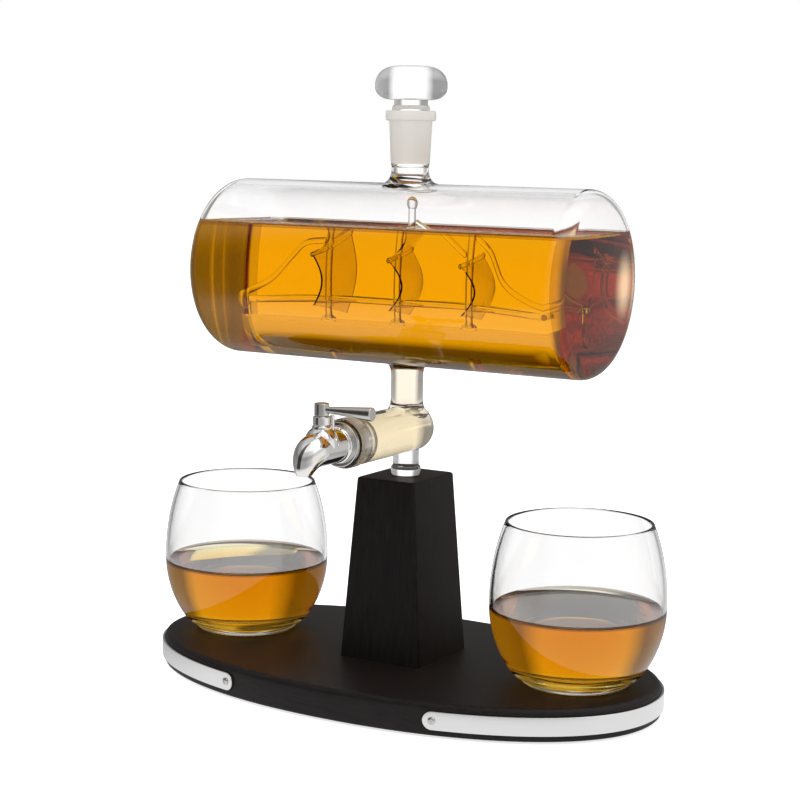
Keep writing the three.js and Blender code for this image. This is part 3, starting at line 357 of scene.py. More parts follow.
# Points of a quarter of a round corner about (r, z), from (r + dr, z) to (r, z + dz). Power 2 is an
# ellipse, more is squarer.
def quarter(r, z, dr, dz, steps=10, power=2):
    points = []
    for i in range(steps + 1):
        angle = math.pi / 2 * i / steps
        across = 0 if i == steps else math.cos(angle) ** (2 / power)
        up = 0 if i == 0 else math.sin(angle) ** (2 / power)
        points.append((r + dr * across, z + dz * up))
    return points


def skin(bm, rings, closed=False):
    pairs = list(zip(rings, rings[1:])) + ([(rings[-1], rings[0])] if closed else [])
    for low, high in pairs:
        count = max(len(low), len(high))
        for i in range(count):
            j = (i + 1) % count
            if len(low) == 1:
                bm.faces.new((low[0], high[j], high[i]))
            elif len(high) == 1:
                bm.faces.new((low[i], low[j], high[0]))
            else:
                bm.faces.new((low[i], low[j], high[j], high[i]))


# A solid of revolution about Z. Its profile of (radius, height) starts and ends on the axis, or is a loop.
def lathe(profile, segments=96):
    bm = bmesh.new()
    rings = []
    for r, z in profile:
        if r < 1e-6:
            rings.append([bm.verts.new((0, 0, z))])
            continue
        angles = [2 * math.pi * i / segments for i in range(segments)]
        rings.append([bm.verts.new((r * math.cos(a), r * math.sin(a), z)) for a in angles])
    skin(bm, rings, closed=len(rings[0]) > 1)
    bmesh.ops.recalc_face_normals(bm, faces=bm.faces)
    return bm


# A closed skin over rings of equally many points, with a flat end on the first and the last.
def loft(rings):
    bm = bmesh.new()
    made = [[bm.verts.new(p) for p in ring] for ring in rings]
    skin(bm, made)
    bm.faces.new(made[0])
    bm.faces.new(made[-1])
    bmesh.ops.recalc_face_normals(bm, faces=bm.faces)
    return bm


def rod(radius, low, high, segments=48):
    return lathe([(0, low), (radius, low), (radius, high), (0, high)], segments)


def moved(bm, matrix):
    bmesh.ops.transform(bm, matrix=matrix, verts=bm.verts)
    return bm


def shifted(bm, x=0, y=0, z=0):
    return moved(bm, Matrix.Translation((x, y, z)))


# Turns what was made along +Z to point along -Y, as the tap does, or along +X.
def alongTap(bm):
    return moved(bm, Matrix.Rotation(math.pi / 2, 4, "X"))


def alongX(bm):
    return moved(bm, Matrix.Rotation(math.pi / 2, 4, "Y"))


def holder(bm):
    mesh = bpy.data.meshes.new("holder")
    bm.to_mesh(mesh)
    bm.free()
    obj = bpy.data.objects.new("holder", mesh)
    scene.collection.objects.link(obj)
    return obj


# Joins solids to the first one, cuts them from it, or keeps what they share.
def combine(operation, first, *others):
    base = holder(first)
    tools = [holder(other) for other in others]
    for tool in tools:
        modifier = base.modifiers.new("join", "BOOLEAN")
        modifier.solver = "EXACT"
        modifier.operation = operation
        modifier.object = tool
    result = bmesh.new()
    result.from_object(base, bpy.context.evaluated_depsgraph_get())
    for obj in [base, *tools]:
        mesh = obj.data
        bpy.data.objects.remove(obj)
        bpy.data.meshes.remove(mesh)
    bmesh.ops.remove_doubles(result, verts=result.verts, dist=1e-4)
    return result


# A smooth curve through points, as many steps to each stretch between two of them.
def smoothPath(points, steps=10):
    points = [Vector(p) for p in points]
    ends = [points[0] * 2 - points[1], *points, points[-1] * 2 - points[-2]]
    path = []
    for p0, p1, p2, p3 in zip(ends, ends[1:], ends[2:], ends[3:]):
        d0, d1, d2 = [max((b - a).length, 1e-6) ** 0.5 for a, b in ((p0, p1), (p1, p2), (p2, p3))]
        m1 = ((p1 - p0) / d0 - (p2 - p0) / (d0 + d1) + (p2 - p1) / d1) * d1
        m2 = ((p2 - p1) / d1 - (p3 - p1) / (d1 + d2) + (p3 - p2) / d2) * d1
        for k in range(steps):
            t = k / steps
            path.append(p1 * (2 * t**3 - 3 * t**2 + 1) + m1 * (t**3 - 2 * t**2 + t)
                        + p2 * (3 * t**2 - 2 * t**3) + m2 * (t**3 - t**2))
    return [*path, points[-1]]


endAngles = (0, 0.5, 1.0, 1.35)  # radians, of the rings that round off the end of a bar


# A round bar along a path, whose ends are rounded off.
def sweep(path, radius, sides=14):
    path = [Vector(p) for p in path]
    turns = [2 * math.pi * i / sides for i in range(sides)]
    ways = [(b - a).normalized() for a, b in zip(path, path[1:])]
    ways = [ways[0], *[(a + b).normalized() for a, b in zip(ways, ways[1:])], ways[-1]]
    side = ways[0].orthogonal().normalized()
    rings = []
    for index, (point, way) in enumerate(zip(path, ways)):
        side = (side - way * side.dot(way)).normalized()
        other = way.cross(side)
        end = -1 if index == 0 else 1 if index == len(path) - 1 else 0
        rounds = [(math.cos(a), math.sin(a)) for a in endAngles] if end else [(1, 0)]
        if end < 0:
            rounds.reverse()
        for across, out in rounds:
            middle = point + way * (end * out * radius)
            rings.append([middle + (side * math.cos(a) + other * math.sin(a)) * (radius * across)
                          for a in turns])
    return loft(rings)


def ball(radius, place, squeeze=1, segments=28):
    bm = bmesh.new()
    bmesh.ops.create_uvsphere(bm, u_segments=segments, v_segments=segments // 2, radius=radius)
    return moved(bm, Matrix.Translation(place) @ Matrix.Diagonal((1, 1, squeeze, 1)))


def ring(radius, section, place, sides=14, segments=40):
    profile = [(radius + section * math.cos(a), section * math.sin(a))
               for a in (2 * math.pi * i / sides for i in range(sides))]
    return shifted(lathe(profile, segments), *place)


# Turns a mesh into a piece of the scene that rides on a body. Where it has more than one material, pick says
# which a face gets.
def addPiece(name, bm, body, materials, replaced=(), lift=0, x=0, sharp=32, pick=None):
    bmesh.ops.recalc_face_normals(bm, faces=bm.faces)
    if pick:
        for face in bm.faces:
            face.material_index = materials.index(pick(face))
    moved(bm, Matrix.Scale(mm, 4) @ Matrix.Translation((x, 0, lift)))
    mesh = bpy.data.meshes.new(name)
    for material in materials:
        mesh.materials.append(material)
    bm.to_mesh(mesh)
    bm.free()
    mesh.polygons.foreach_set("use_smooth", [True] * len(mesh.polygons))
    mesh.set_sharp_from_angle(angle=math.radians(sharp))
    obj = bpy.data.objects.new(name, mesh)
    scene.collection.objects.link(obj)
    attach(obj, body)
    if replaced:
        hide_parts(*replaced)
    return obj


def dress(node, material):
    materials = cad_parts[node].data.materials
    materials.clear()
    materials.append(material)


# Board

board = {
    "length": 270, "width": 151.5, "thickness": boardTop - boardFoot, "topRound": 3.2, "bottomRound": 1.2,
    "fullness": 0.942,  # 1 is an ellipse, less is fuller at the corners
    "points": 240,
}


# A point of the board's outline |x/a|^m + |y/b|^m = 1 at an angle, moved outwards by grow.
def outlinePoint(angle, grow=0, z=0):
    a, b, share = board["length"] / 2, board["width"] / 2, board["fullness"]
    c, s = math.cos(angle), math.sin(angle)
    x, y = math.copysign(abs(c) ** share, c), math.copysign(abs(s) ** share, s)
    power = 2 / share - 1
    outX, outY = math.copysign(abs(x) ** power, x) / a, math.copysign(abs(y) ** power, y) / b
    return Vector((a * x, b * y, z)) + Vector((outX, outY, 0)).normalized() * grow


# The angle at which the outline reaches x, on the side given by the sign of side.
def outlineAngle(x, side):
    first = math.acos(min(1, (2 * abs(x) / board["length"]) ** (1 / board["fullness"])))
    return side * (math.pi - first if x < 0 else first)


bands = {
    "height": 8.7, "thickness": 1, "rise": 3.2, "endX": 53, "gap": 0.3, "edgeRound": 0.22,
    "edgeAngles": (0.5, 1.07),  # radians, of the points on a rounded edge
    "steps": 120, "tipSteps": 14, "tipShare": 0.02, "cornerShare": 0.8, "fine": 400,
}
bandScrews = {
    "headRadius": 1.9, "headHeight": 0.8, "shankRadius": 1, "length": 9, "gap": 0.15,
    "slotWidth": 0.5, "slotShare": 0.5, "slotReach": 1.15, "slotTurn": 0.4,  # the cross: mm, shares, radians
}
bandLevel = boardFoot + bands["rise"] + bands["height"] / 2


def bandScrewPlaces():
    places = {}
    for end, endName in ((-1, "left"), (1, "right")):
        for side, sideName in ((-1, "front"), (1, "rear")):
            angle = outlineAngle(end * (bands["endX"] + bands["height"] / 2), side)
            point = outlinePoint(angle, bands["gap"] + bands["thickness"], bandLevel)
            outward = (point - outlinePoint(angle, 0, bandLevel)).normalized()
            places[endName + "_" + sideName] = (end, point, outward)
    return places


# Moves what was made along +Z so that it starts at a place and points outwards.
def placed(bm, point, outward):
    turn = Vector((0, 0, 1)).rotation_difference(outward).to_matrix().to_4x4()
    return moved(bm, Matrix.Translation(point) @ turn)


# The hole for a band's screw, from a depth below the band's face.
def screwHole(depth, point, outward):
    return placed(rod(bandScrews["shankRadius"] + bandScrews["gap"], -depth, overrun, 24), point, outward)


def makeBoard():
    top, foot, thick = board["topRound"], board["bottomRound"], board["thickness"]
    profile = quarter(-foot, foot, foot, -foot, 5)[::-1] + quarter(-top, thick - top, top, top, 10)
    angles = [2 * math.pi * i / board["points"] for i in range(board["points"])]
    solid = loft([[outlinePoint(a, grow, boardFoot + z) for a in angles] for grow, z in profile])
    depth = bandScrews["length"] + bands["gap"]
    holes = [screwHole(depth, point, outward) for _, point, outward in bandScrewPlaces().values()]
    solid = combine("DIFFERENCE", solid, *holes)
    addPiece("board_wood", solid, "stand", [boardWood], ["base_board"])


# A steel strip round one end of the board, with round tips.
def makeBand(end, name):
    half, thick, fine = bands["height"] / 2, bands["thickness"], bands["fine"]
    first, last = outlineAngle(end * bands["endX"], -1), outlineAngle(end * bands["endX"], 1)
    turn = last - first if end > 0 else -(2 * math.pi + first - last)
    start, beside = [outlinePoint(first + turn * i / fine, bands["gap"]) for i in range(2)]
    tip = half / ((beside - start).length * fine)  # the round tip's share of the band
    steps, tipSteps = bands["steps"], bands["tipSteps"]
    shares = [tip * (1 - math.cos(math.pi / 2 * i / tipSteps)) for i in range(tipSteps)]
    shares += [tip + (1 - 2 * tip) * i / steps for i in range(steps + 1)]
    shares += [1 - share for share in reversed(shares[:tipSteps])]
    rings = []
    for t in shares:
        inTip = min(1, min(t, 1 - t) / tip)
        high = half * max(bands["tipShare"], math.sqrt(1 - (1 - inTip) ** 2))
        corner = min(bands["edgeRound"], high * bands["cornerShare"])
        section = [(0, -high), (thick - corner, -high)]
        section += [(thick - corner + dx, -high + corner - dz) for dx, dz in
                    ((corner * math.sin(a), corner * math.cos(a)) for a in bands["edgeAngles"])]
        section += [(thick, -high + corner)]
        section += [(x, -z) for x, z in reversed(section)]
        angle = first + turn * t
        rings.append([outlinePoint(angle, bands["gap"] + out, bandLevel + z) for out, z in section])
    solid = loft(rings)
    holes = [screwHole(thick + overrun, point, outward)
             for which, point, outward in bandScrewPlaces().values() if which == end]
    addPiece("band_strip_" + name, combine("DIFFERENCE", solid, *holes), "stand", [stripSteel],
             ["band_" + name])


# A round-headed screw with a cross recess.
def makeBandScrew(name, point, outward):
    s = bandScrews
    profile = [(0, -s["length"]), (s["shankRadius"] / 3, -s["length"]),
               (s["shankRadius"], -s["length"] + s["shankRadius"] * 2), (s["shankRadius"], s["gap"])]
    head = lathe(profile + quarter(0, s["gap"], s["headRadius"], s["headHeight"], 8), 40)
    slots = []
    for turn in (s["slotTurn"], s["slotTurn"] + math.pi / 2):
        slot = bmesh.new()
        bmesh.ops.create_cube(slot, size=1)
        size = (s["headRadius"] * s["slotReach"], s["slotWidth"], s["headHeight"] * s["slotShare"] * 2)
        moved(slot, Matrix.Translation((0, 0, s["gap"] + s["headHeight"])) @ Matrix.Rotation(turn, 4, "Z")
              @ Matrix.Diagonal((*size, 1)))
        slots.append(slot)
    solid = placed(combine("DIFFERENCE", head, *slots), point, outward)
    addPiece("round_screw_" + name, solid, "stand", [satinSteel], ["band_screw_" + name])


# Pedestal

pedestal = {
    "foot": (45, 47.5), "top": (32.5, 39.5), "cornerRound": 1.8, "edgeRound": 1.1, "cornerSteps": 8,
}
seat = {"pegRadius": 5.9, "below": 18, "sleeveWall": 0.5, "gap": 0.15, "seatGap": 0.3}
seat["bore"] = seat["pegRadius"] + seat["sleeveWall"] + 2 * seat["gap"]
seat["depth"] = seat["below"] + seat["sleeveWall"] + seat["gap"] + seat["seatGap"]


def makePedestal():
    p, height = pedestal, pedestalTop - boardTop
    corner, edgeRound = p["cornerRound"], p["edgeRound"]
    rings = []
    profile = [(0, height * i / 6) for i in range(6)]
    profile += quarter(-edgeRound, height - edgeRound, edgeRound, edgeRound, 7)
    for inset, z in profile:
        width, depth = [foot + (top - foot) * z / height + 2 * inset
                        for foot, top in zip(p["foot"], p["top"])]
        points = []
        for sx, sy, turn in ((1, 1, 0), (-1, 1, 1), (-1, -1, 2), (1, -1, 3)):
            for i in range(p["cornerSteps"] + 1):
                angle = math.pi / 2 * (turn + i / p["cornerSteps"])
                points.append((sx * (width / 2 - corner) + corner * math.cos(angle),
                               sy * (depth / 2 - corner) + corner * math.sin(angle), boardTop + z))
        rings.append(points)
    bore = rod(seat["bore"], pedestalTop - seat["depth"], pedestalTop + overrun, 64)
    addPiece("pedestal_wood", combine("DIFFERENCE", loft(rings), bore), "stand", [pedestalWood],
             ["pedestal"])


makeBoard()
makeBand(-1, "left")
makeBand(1, "right")
for screwName, (_, screwPoint, screwOutward) in bandScrewPlaces().items():
    makeBandScrew(screwName, screwPoint, screwOutward)
makePedestal()
dress("base_pad", blackRubber)
dress("socket_sleeve", silicone)
for screwNode in ("pedestal_screw_front", "pedestal_screw_rear"):
    dress(screwNode, satinSteel)
print("stand made")


# Decanter, in a frame whose origin is the middle of the pedestal's top

vessel = {
    "wall": 1.9,
    "beadLap": 0.7, "beadHeight": 4.8, "beadSteps": 14, "beadStart": 0.12, "beadPower": 0.7,
    "pegEndRound": 1.5,
    "tubeHeight": 22.9, "tubeRadius": 11.5, "tubeReach": 58, "tubeTail": 4, "lip": 0.4, "lipLength": 9,
    "lowerNeck": 31.5, "lowerRadius": 7.9, "lowerFlare": 3.6, "lowerFlareHeight": 6.5, "stubRadius": 6.4,
    "radius": 44.1, "length": 210, "shoulder": 7.5, "dome": 2.2, "cylinderWall": 2.2,
    "discShares": (0.9, 0.75, 0.6, 0.45, 0.3, 0.15, 0),  # rings of the domed end, from its shoulder inwards
    "neckLength": 9.6, "neckRadius": 8.9, "neckFlare": 4.6, "neckFlareHeight": 7,
    "socketFoot": 9.4, "socketLength": 25.2, "socketWall": 1.2, "taper": 0.05, "groundStart": 1,
    "collarRadius": 12.2, "collarHeight": 4.9, "collarRound": 1.1,
    "segments": 216, "neckSegments": 96,
}
axisHeight = vessel["tubeHeight"] + vessel["lowerNeck"] + vessel["radius"]
socketBottom = axisHeight + vessel["radius"] + vessel["neckLength"]
socketTop = socketBottom + vessel["socketLength"]
cavityRadius = vessel["radius"] - vessel["cylinderWall"]
socketBoreFoot = vessel["socketFoot"] - vessel["socketWall"]


# The cylinder's outside, or its inside when it is drawn in by the wall.
def cylinderForm(inset):
    v = vessel
    radius, half = v["radius"] - inset, v["length"] / 2 - inset
    shoulder = max(v["shoulder"] - inset, v["shoulder"] / 3)
    dome, flat = min(v["dome"], shoulder / 2), radius - shoulder
    corner = quarter(flat, half - dome - shoulder, shoulder, shoulder, 12)
    end = corner + [(flat * share, half - dome * share**2) for share in v["discShares"]]
    return shifted(alongX(lathe([(r, -z) for r, z in reversed(end)] + end, v["segments"])), z=axisHeight)


def crest(side):
    return math.sqrt(vessel["radius"] ** 2 - side**2)


def upperNeckOutside():
    v = vessel
    foot = v["neckRadius"] + v["neckFlare"]
    root = axisHeight + crest(foot) - v["cylinderWall"] / 2
    low = socketTop - v["collarHeight"]
    flat = v["collarRadius"] - v["collarRound"]
    profile = [(0, root), (foot, root)]
    profile += quarter(foot, axisHeight + v["radius"] + v["neckFlareHeight"], -v["neckFlare"],
                       -v["neckFlareHeight"], 12)[::-1]
    profile += [(v["neckRadius"], socketBottom - v["wall"])]
    profile += [(v["socketFoot"], socketBottom), (v["socketFoot"] + v["taper"] * (low - socketBottom), low)]
    profile += quarter(flat, low + v["collarRound"], v["collarRound"], -v["collarRound"], 6)[::-1]
    profile += quarter(flat, socketTop - v["collarRound"], v["collarRound"], v["collarRound"], 6)
    return lathe(profile + [(0, socketTop)], v["neckSegments"])


def upperNeckInside():
    v = vessel
    low = axisHeight + cavityRadius / 2
    bore = v["neckRadius"] - v["wall"]
    high = socketTop + overrun
    return lathe([(0, low), (bore, low), (bore, socketBottom - v["wall"]), (socketBoreFoot, socketBottom),
                  (socketBoreFoot + v["taper"] * (high - socketBottom), high), (0, high)], v["neckSegments"])


def lowerNeckOutside():
    v = vessel
    narrow, flare, rise = v["lowerRadius"], v["lowerFlare"], v["lowerFlareHeight"]
    wide = narrow + flare
    bottom = v["tubeHeight"] + math.sqrt(v["tubeRadius"] ** 2 - narrow**2)
    top = axisHeight - crest(wide)
    profile = [(0, v["tubeHeight"]), (narrow, v["tubeHeight"])]
    profile += quarter(wide, bottom + rise, -flare, -rise, 12)[::-1][1:]
    profile += quarter(wide, top - rise, -flare, rise, 12)
    profile += [(wide, top + v["cylinderWall"] / 2), (0, top + v["cylinderWall"] / 2)]
    return lathe(profile, v["neckSegments"])


def lowerNeckInside(lap=0):
    v = vessel
    radius, top = v["lowerRadius"] - v["wall"] + lap, axisHeight - cavityRadius / 2
    return rod(radius, v["tubeHeight"], top, v["neckSegments"])


# The tap tube's outside or bore, with a round rear end, along -Y.
def tapTubeForm(radius, lip, mouth):
    v = vessel
    profile = quarter(0, -v["tubeTail"], radius, -radius, 16)[::-1]
    start = v["tubeReach"] - v["lipLength"]
    if lip:
        profile += [(radius + lip * share * share * (3 - 2 * share), start + share * v["lipLength"] / 2)
                    for share in (0, 0.25, 0.5, 0.75, 1)]
        profile += quarter(radius, mouth - lip * 2, lip, lip * 2, 5)
    else:
        profile += [(radius, mouth)]
    return shifted(alongTap(lathe(profile + [(0, mouth)], v["neckSegments"])), z=v["tubeHeight"])


def pegForm():
    v, r = vessel, seat["pegRadius"]
    bead = seat["bore"] + v["beadLap"]
    profile = [(0, -seat["below"])]
    profile += quarter(r - v["pegEndRound"], v["pegEndRound"] - seat["below"], v["pegEndRound"],
                       -v["pegEndRound"], 5)[::-1]
    profile += [(r, 0)]
    half, start, steps = v["beadHeight"] / 2, v["beadStart"], v["beadSteps"]
    for i in range(steps + 1):
        angle = math.pi * (start + (1 - start) * i / steps)
        core = r if angle < math.pi / 2 else v["stubRadius"]
        out = abs(math.sin(angle)) ** v["beadPower"]
        profile.append((core + (bead - core) * out, half * (1 - math.cos(angle))))
    neck = v["tubeHeight"] - v["tubeRadius"] + v["wall"]
    return lathe(profile + [(v["stubRadius"], neck), (0, neck)], v["neckSegments"])


# Whiskey: the inside of the glass, a hair larger so that the two meet, up to its level.

fill = {
    "lap": 0.12, "level": 21.6, "bungRear": 43.5,  # mm: level above the cylinder's axis
    "meniscus": 2.1, "reach": 1.3,  # height and width of the rim where the whiskey climbs the glass
    "freeSlope": 0.59,  # least rise of the normal of a face that meets the air
    # Rows of the surface, closer together in a zone along its rim, and where its sides turn down
    "rimZone": 8, "rimStep": 0.35, "rimSteps": 16, "outerStep": 0.6, "middleSteps": 24, "skirt": 1,
}


def makeSea():
    v = vessel
    level, rim = axisHeight + fill["level"], fill["level"] + fill["meniscus"]
    halfX = v["length"] / 2 - v["cylinderWall"]
    halfY = math.sqrt(cavityRadius**2 - rim**2)
    shoulder = v["shoulder"] - v["cylinderWall"]
    dome = min(v["dome"], shoulder / 2)

    def endAt(y):  # where the inside of the round end is, along X
        r, flat = min(math.hypot(y, rim), cavityRadius), cavityRadius - shoulder
        if r < flat:
            return halfX - dome * (r / flat) ** 2
        return halfX - dome - shoulder + math.sqrt(shoulder**2 - (r - flat) ** 2)

    def stops(half):
        inner, count = half - fill["rimZone"], fill["middleSteps"]
        edgeStops = [half + overrun, half + fill["outerStep"], inner]
        edgeStops += [half - fill["rimStep"] * i for i in range(fill["rimSteps"])]
        middle = [inner - inner * 2 * i / count for i in range(1, count)]
        return sorted(edgeStops + middle + [-s for s in edgeStops])

    xs, ys = stops(halfX), stops(halfY)
    bm = bmesh.new()
    top = []
    for x in xs:
        row = []
        for y in ys:
            end = endAt(y)
            away = max(0, min(halfY - abs(y), halfX - abs(x)))
            climb = fill["meniscus"] * math.exp(-away / fill["reach"])
            row.append(bm.verts.new((x * end / halfX, y, level + climb)))
        top.append(row)
    for a, b in zip(top, top[1:]):
        for i in range(len(ys) - 1):
            bm.faces.new((a[i], b[i], b[i + 1], a[i + 1]))
    border = [row[0] for row in top] + top[-1][1:] + [row[-1] for row in reversed(top[:-1])] + top[0][-2:0:-1]
    # The sides run out past the cylinder's widest place, a little below the surface, and then down.
    spread = (v["radius"] + overrun) / halfY
    rings = [border] + [[bm.verts.new((vert.co.x, vert.co.y * spread, z)) for vert in border]
                        for z in (level - fill["skirt"], -overrun)]
    skin(bm, rings)
    bm.faces.new(rings[-1])
    bmesh.ops.recalc_face_normals(bm, faces=bm.faces)
    return bm


# Makes the whiskey in the cylinder and in the neck, and returns both in one mesh.
def makeDecanterWhiskey():
    v, lap = vessel, fill["lap"]
    body = combine("INTERSECT", cylinderForm(v["cylinderWall"] - lap), makeSea())
    tube = tapTubeForm(v["tubeRadius"] - v["wall"] + lap, 0, fill["bungRear"])
    narrow = combine("UNION", lowerNeckInside(lap), tube)
    narrow = combine("DIFFERENCE", narrow, cylinderForm(v["cylinderWall"] - 2 * lap))
    liquids = combine("UNION", body.copy(), narrow.copy())
    markFreeSurface(body, axisHeight + fill["level"])
    addPiece("whiskey_decanter", body, "decanter", [whiskey], lift=pedestalTop)
    addPiece("whiskey_neck", narrow, "decanter", [thinWhiskey], lift=pedestalTop)
    return liquids


# Splits the faces of a glass along level lines, so that the wetted ones end where the liquid does.
def splitAt(bm, *heights):
    for height in heights:
        geometry = [*bm.verts, *bm.edges, *bm.faces]
        bmesh.ops.bisect_plane(bm, geom=geometry, dist=1e-4, plane_co=(0, 0, height), plane_no=(0, 0, 1))
    return bm


# Tells whether a face of the glass has a liquid on it, which then lies no deeper in the glass than its lap.
def wettedBy(liquid):
    tree = BVHTree.FromBMesh(liquid)
    return lambda face: tree.find_nearest(face.calc_center_median())[3] < fill["lap"] * 2


# Marks the faces of a liquid that meet the air, above a height.
def markFreeSurface(bm, height):
    bmesh.ops.recalc_face_normals(bm, faces=bm.faces)
    free = bm.faces.layers.float.new("freeSurface")
    for face in bm.faces:
        top = face.normal.z > fill["freeSlope"] and face.calc_center_median().z > height - fill["lap"]
        face[free] = 1 if top else 0


def makeVessel(liquid):
    v = vessel
    wetted = wettedBy(liquid)
    outside = combine("UNION", cylinderForm(0), upperNeckOutside(), lowerNeckOutside(),
                      tapTubeForm(v["tubeRadius"], v["lip"], v["tubeReach"]), pegForm())
    inside = combine("UNION", cylinderForm(v["cylinderWall"]), upperNeckInside(), lowerNeckInside(),
                     tapTubeForm(v["tubeRadius"] - v["wall"], 0, v["tubeReach"] + 2))

    level = axisHeight + fill["level"]
    glass = splitAt(combine("DIFFERENCE", outside, inside), level, level + fill["meniscus"])

    def pick(face):
        place = face.calc_center_median()
        if place.z > socketBottom + v["groundStart"]:
            return groundGlass
        if not wetted(face):
            return blownGlass
        # The band where the whiskey climbs the glass gets the painted rim shade.
        if place.z > level - fill["lap"]:
            return paintedRimShade
        # The wetted ends get the painted end shade.
        return paintedEndShade if abs(place.x) > v["length"] / 2 - v["shoulder"] else wettedGlass

    materials = [blownGlass, groundGlass, wettedGlass, paintedEndShade, paintedRimShade]
    addPiece("vessel_glass", glass, "decanter", materials, ["decanter_glass"],
             lift=pedestalTop, pick=pick)


# Stopper

stopper = {
    "plugShare": 0.92, "chamfer": 0.5, "flareHeight": 2.6, "neckRadius": 8.1, "neckHeight": 2.5, "gap": 0.3,
    "radius": 17.4, "height": 16.1, "widestShare": 0.4, "topShare": 0.34, "footShare": 0.5, "power": 2.3,
}


def makeStopper():
    s, v = stopper, vessel
    foot = socketTop - v["socketLength"] * s["plugShare"]

    def plugAt(z):
        return socketBoreFoot + v["taper"] * (z - socketBottom) - s["gap"]

    neckTop = socketTop + s["flareHeight"] + s["neckHeight"]
    top, widest = neckTop + s["height"], neckTop + s["height"] * s["widestShare"]
    under, flat = s["radius"] * s["footShare"], s["radius"] * s["topShare"]
    profile = [(0, foot), (plugAt(foot) - s["chamfer"], foot), (plugAt(foot), foot + s["chamfer"])]
    profile += [(plugAt(socketTop), socketTop)]
    flare = quarter(s["neckRadius"], socketTop, plugAt(socketTop) - s["neckRadius"], s["flareHeight"], 8)
    profile += flare[1:] + [(s["neckRadius"], neckTop)]
    profile += quarter(under, widest, s["radius"] - under, neckTop - widest, 18, s["power"])[::-1]
    profile += quarter(flat, widest, s["radius"] - flat, top - widest, 22, s["power"])[1:]
    addPiece("stopper_glass", lathe(profile + [(0, top)], 128), "stopper", [blownGlass, groundGlass],
             ["stopper"], lift=pedestalTop,
             pick=lambda face: groundGlass if face.calc_center_median().z < socketTop else blownGlass)


makeVessel(makeDecanterWhiskey())
makeStopper()
print("decanter, whiskey and stopper made")


# Ship, in a frame whose origin is the middle of the cylinder

ship = {
    "length": 174, "beam": 22, "depth": 11.5, "deckDrop": 17, "fullness": 4, "endShare": 0.45, "section": 2.6,
    "footRadius": 3.2, "rod": 1.1, "railRise": 7.5, "railEndRise": 5.5, "railSpread": 7,
    "bowBall": 3.2, "sternRing": 4, "mastRadius": 1.8, "mastBead": 4.2, "mastBeadHeight": 2.4,
    "masts": {"fore": -37, "main": 2, "mizzen": 41},
    "finial": 2.7, "finialShare": 1.25, "sailThickness": 1, "pinch": 0.18, "gap": 0.3,
}
# Mast, and its yards from the top down, as (share of the width, share of the height)
rigs = {
    "fore": {"height": 37, "width": 48, "belly": 6.5, "yards": ((0.44, 0.95), (1, 0.68), (0.92, 0.11))},
    "main": {"height": 51.5, "width": 30, "belly": 9, "yards": ((0.7, 0.77), (1, 0.45), (0.92, 0.08))},
    "mizzen": {"height": 33, "width": 30, "belly": 9, "yards": ((1, 0.68), (0.9, 0.12))},
}


def hullForm():
    s, steps = ship, 60
    rings = []
    for k in range(steps + 1):
        t = k / steps
        full = math.sqrt(max(0, 1 - abs(2 * t - 1) ** s["fullness"]))
        half = s["beam"] / 2 * max(s["endShare"], full)
        bottom = quarter(0, -s["deckDrop"], half, -s["depth"], 14, s["section"])
        x = s["length"] * (t - 0.5)
        rings.append([(x, y, z) for y, z in bottom] + [(x, -y, z) for y, z in reversed(bottom[:-1])])
    return loft(rings)


def railForm(side):
    s, half = ship, ship["length"] / 2
    rise = s["railRise"] - s["deckDrop"]
    points = [(-half, 0, s["railEndRise"] - s["deckDrop"])]
    points += [(x, side * s["railSpread"], rise) for x in s["masts"].values()]
    points += [(half - s["sternRing"], 0, s["railEndRise"] - s["deckDrop"])]
    return sweep(smoothPath(points, 14), s["rod"])


def makeHull():
    s, half = ship, ship["length"] / 2
    deck, railEnd = -ship["deckDrop"], ship["railEndRise"] - ship["deckDrop"]
    parts = [railForm(-1), railForm(1)]
    spread = math.sqrt(cavityRadius**2 - s["footRadius"] ** 2) - s["gap"]
    parts += [shifted(rod(s["footRadius"], -spread, deck - s["depth"] / 2, 40), x=x)
              for x in (s["masts"]["fore"], s["masts"]["mizzen"])]
    parts += [shifted(rod(s["rod"], deck - s["rod"], railEnd, 20), x=x)
              for x in (s["bowBall"] - half, half - s["sternRing"])]
    parts += [ring(s["sternRing"] - s["rod"], s["rod"], (half - s["sternRing"], 0, railEnd))]
    parts += [ball(s["bowBall"], (-half, 0, railEnd))]
    beadShare = s["mastBeadHeight"] / s["mastBead"]
    parts += [ball(s["mastBead"], (x, 0, deck), beadShare) for x in s["masts"].values()]

    def pick(face):
        place = face.calc_center_median()
        inHull = place.z < deck + s["rod"] / 2 and abs(place.x) < half - s["rod"]
        # The hull below the deck gets the painted hull shade.
        return paintedHullShade if inHull else sunkGlass

    addPiece("hull_glass", combine("UNION", hullForm(), *parts), "decanter", [sunkGlass, paintedHullShade],
             ["ship_hull"], lift=pedestalTop + axisHeight, pick=pick)


# A sail: a sheet of even thickness between two yards, swelling towards the bow.
def sailForm(x, top, foot, widthTop, widthFoot, belly):
    s = ship
    across, down, front = 20, 24, Vector((s["sailThickness"] / 2, 0, 0))
    rings = []
    for j in range(down + 1):
        v = j / down
        row = []
        for i in range(across + 1):
            side = 2 * i / across - 1
            reach = (widthTop + (widthFoot - widthTop) * v - s["rod"]) / 2
            swell = belly * math.sin(math.pi * v) * (1 - s["pinch"] * side**2)
            row.append(Vector((x + swell, side * reach, top + (foot - top) * v)))
        rings.append([p - front for p in row] + [p + front for p in reversed(row)])
    return loft(rings)


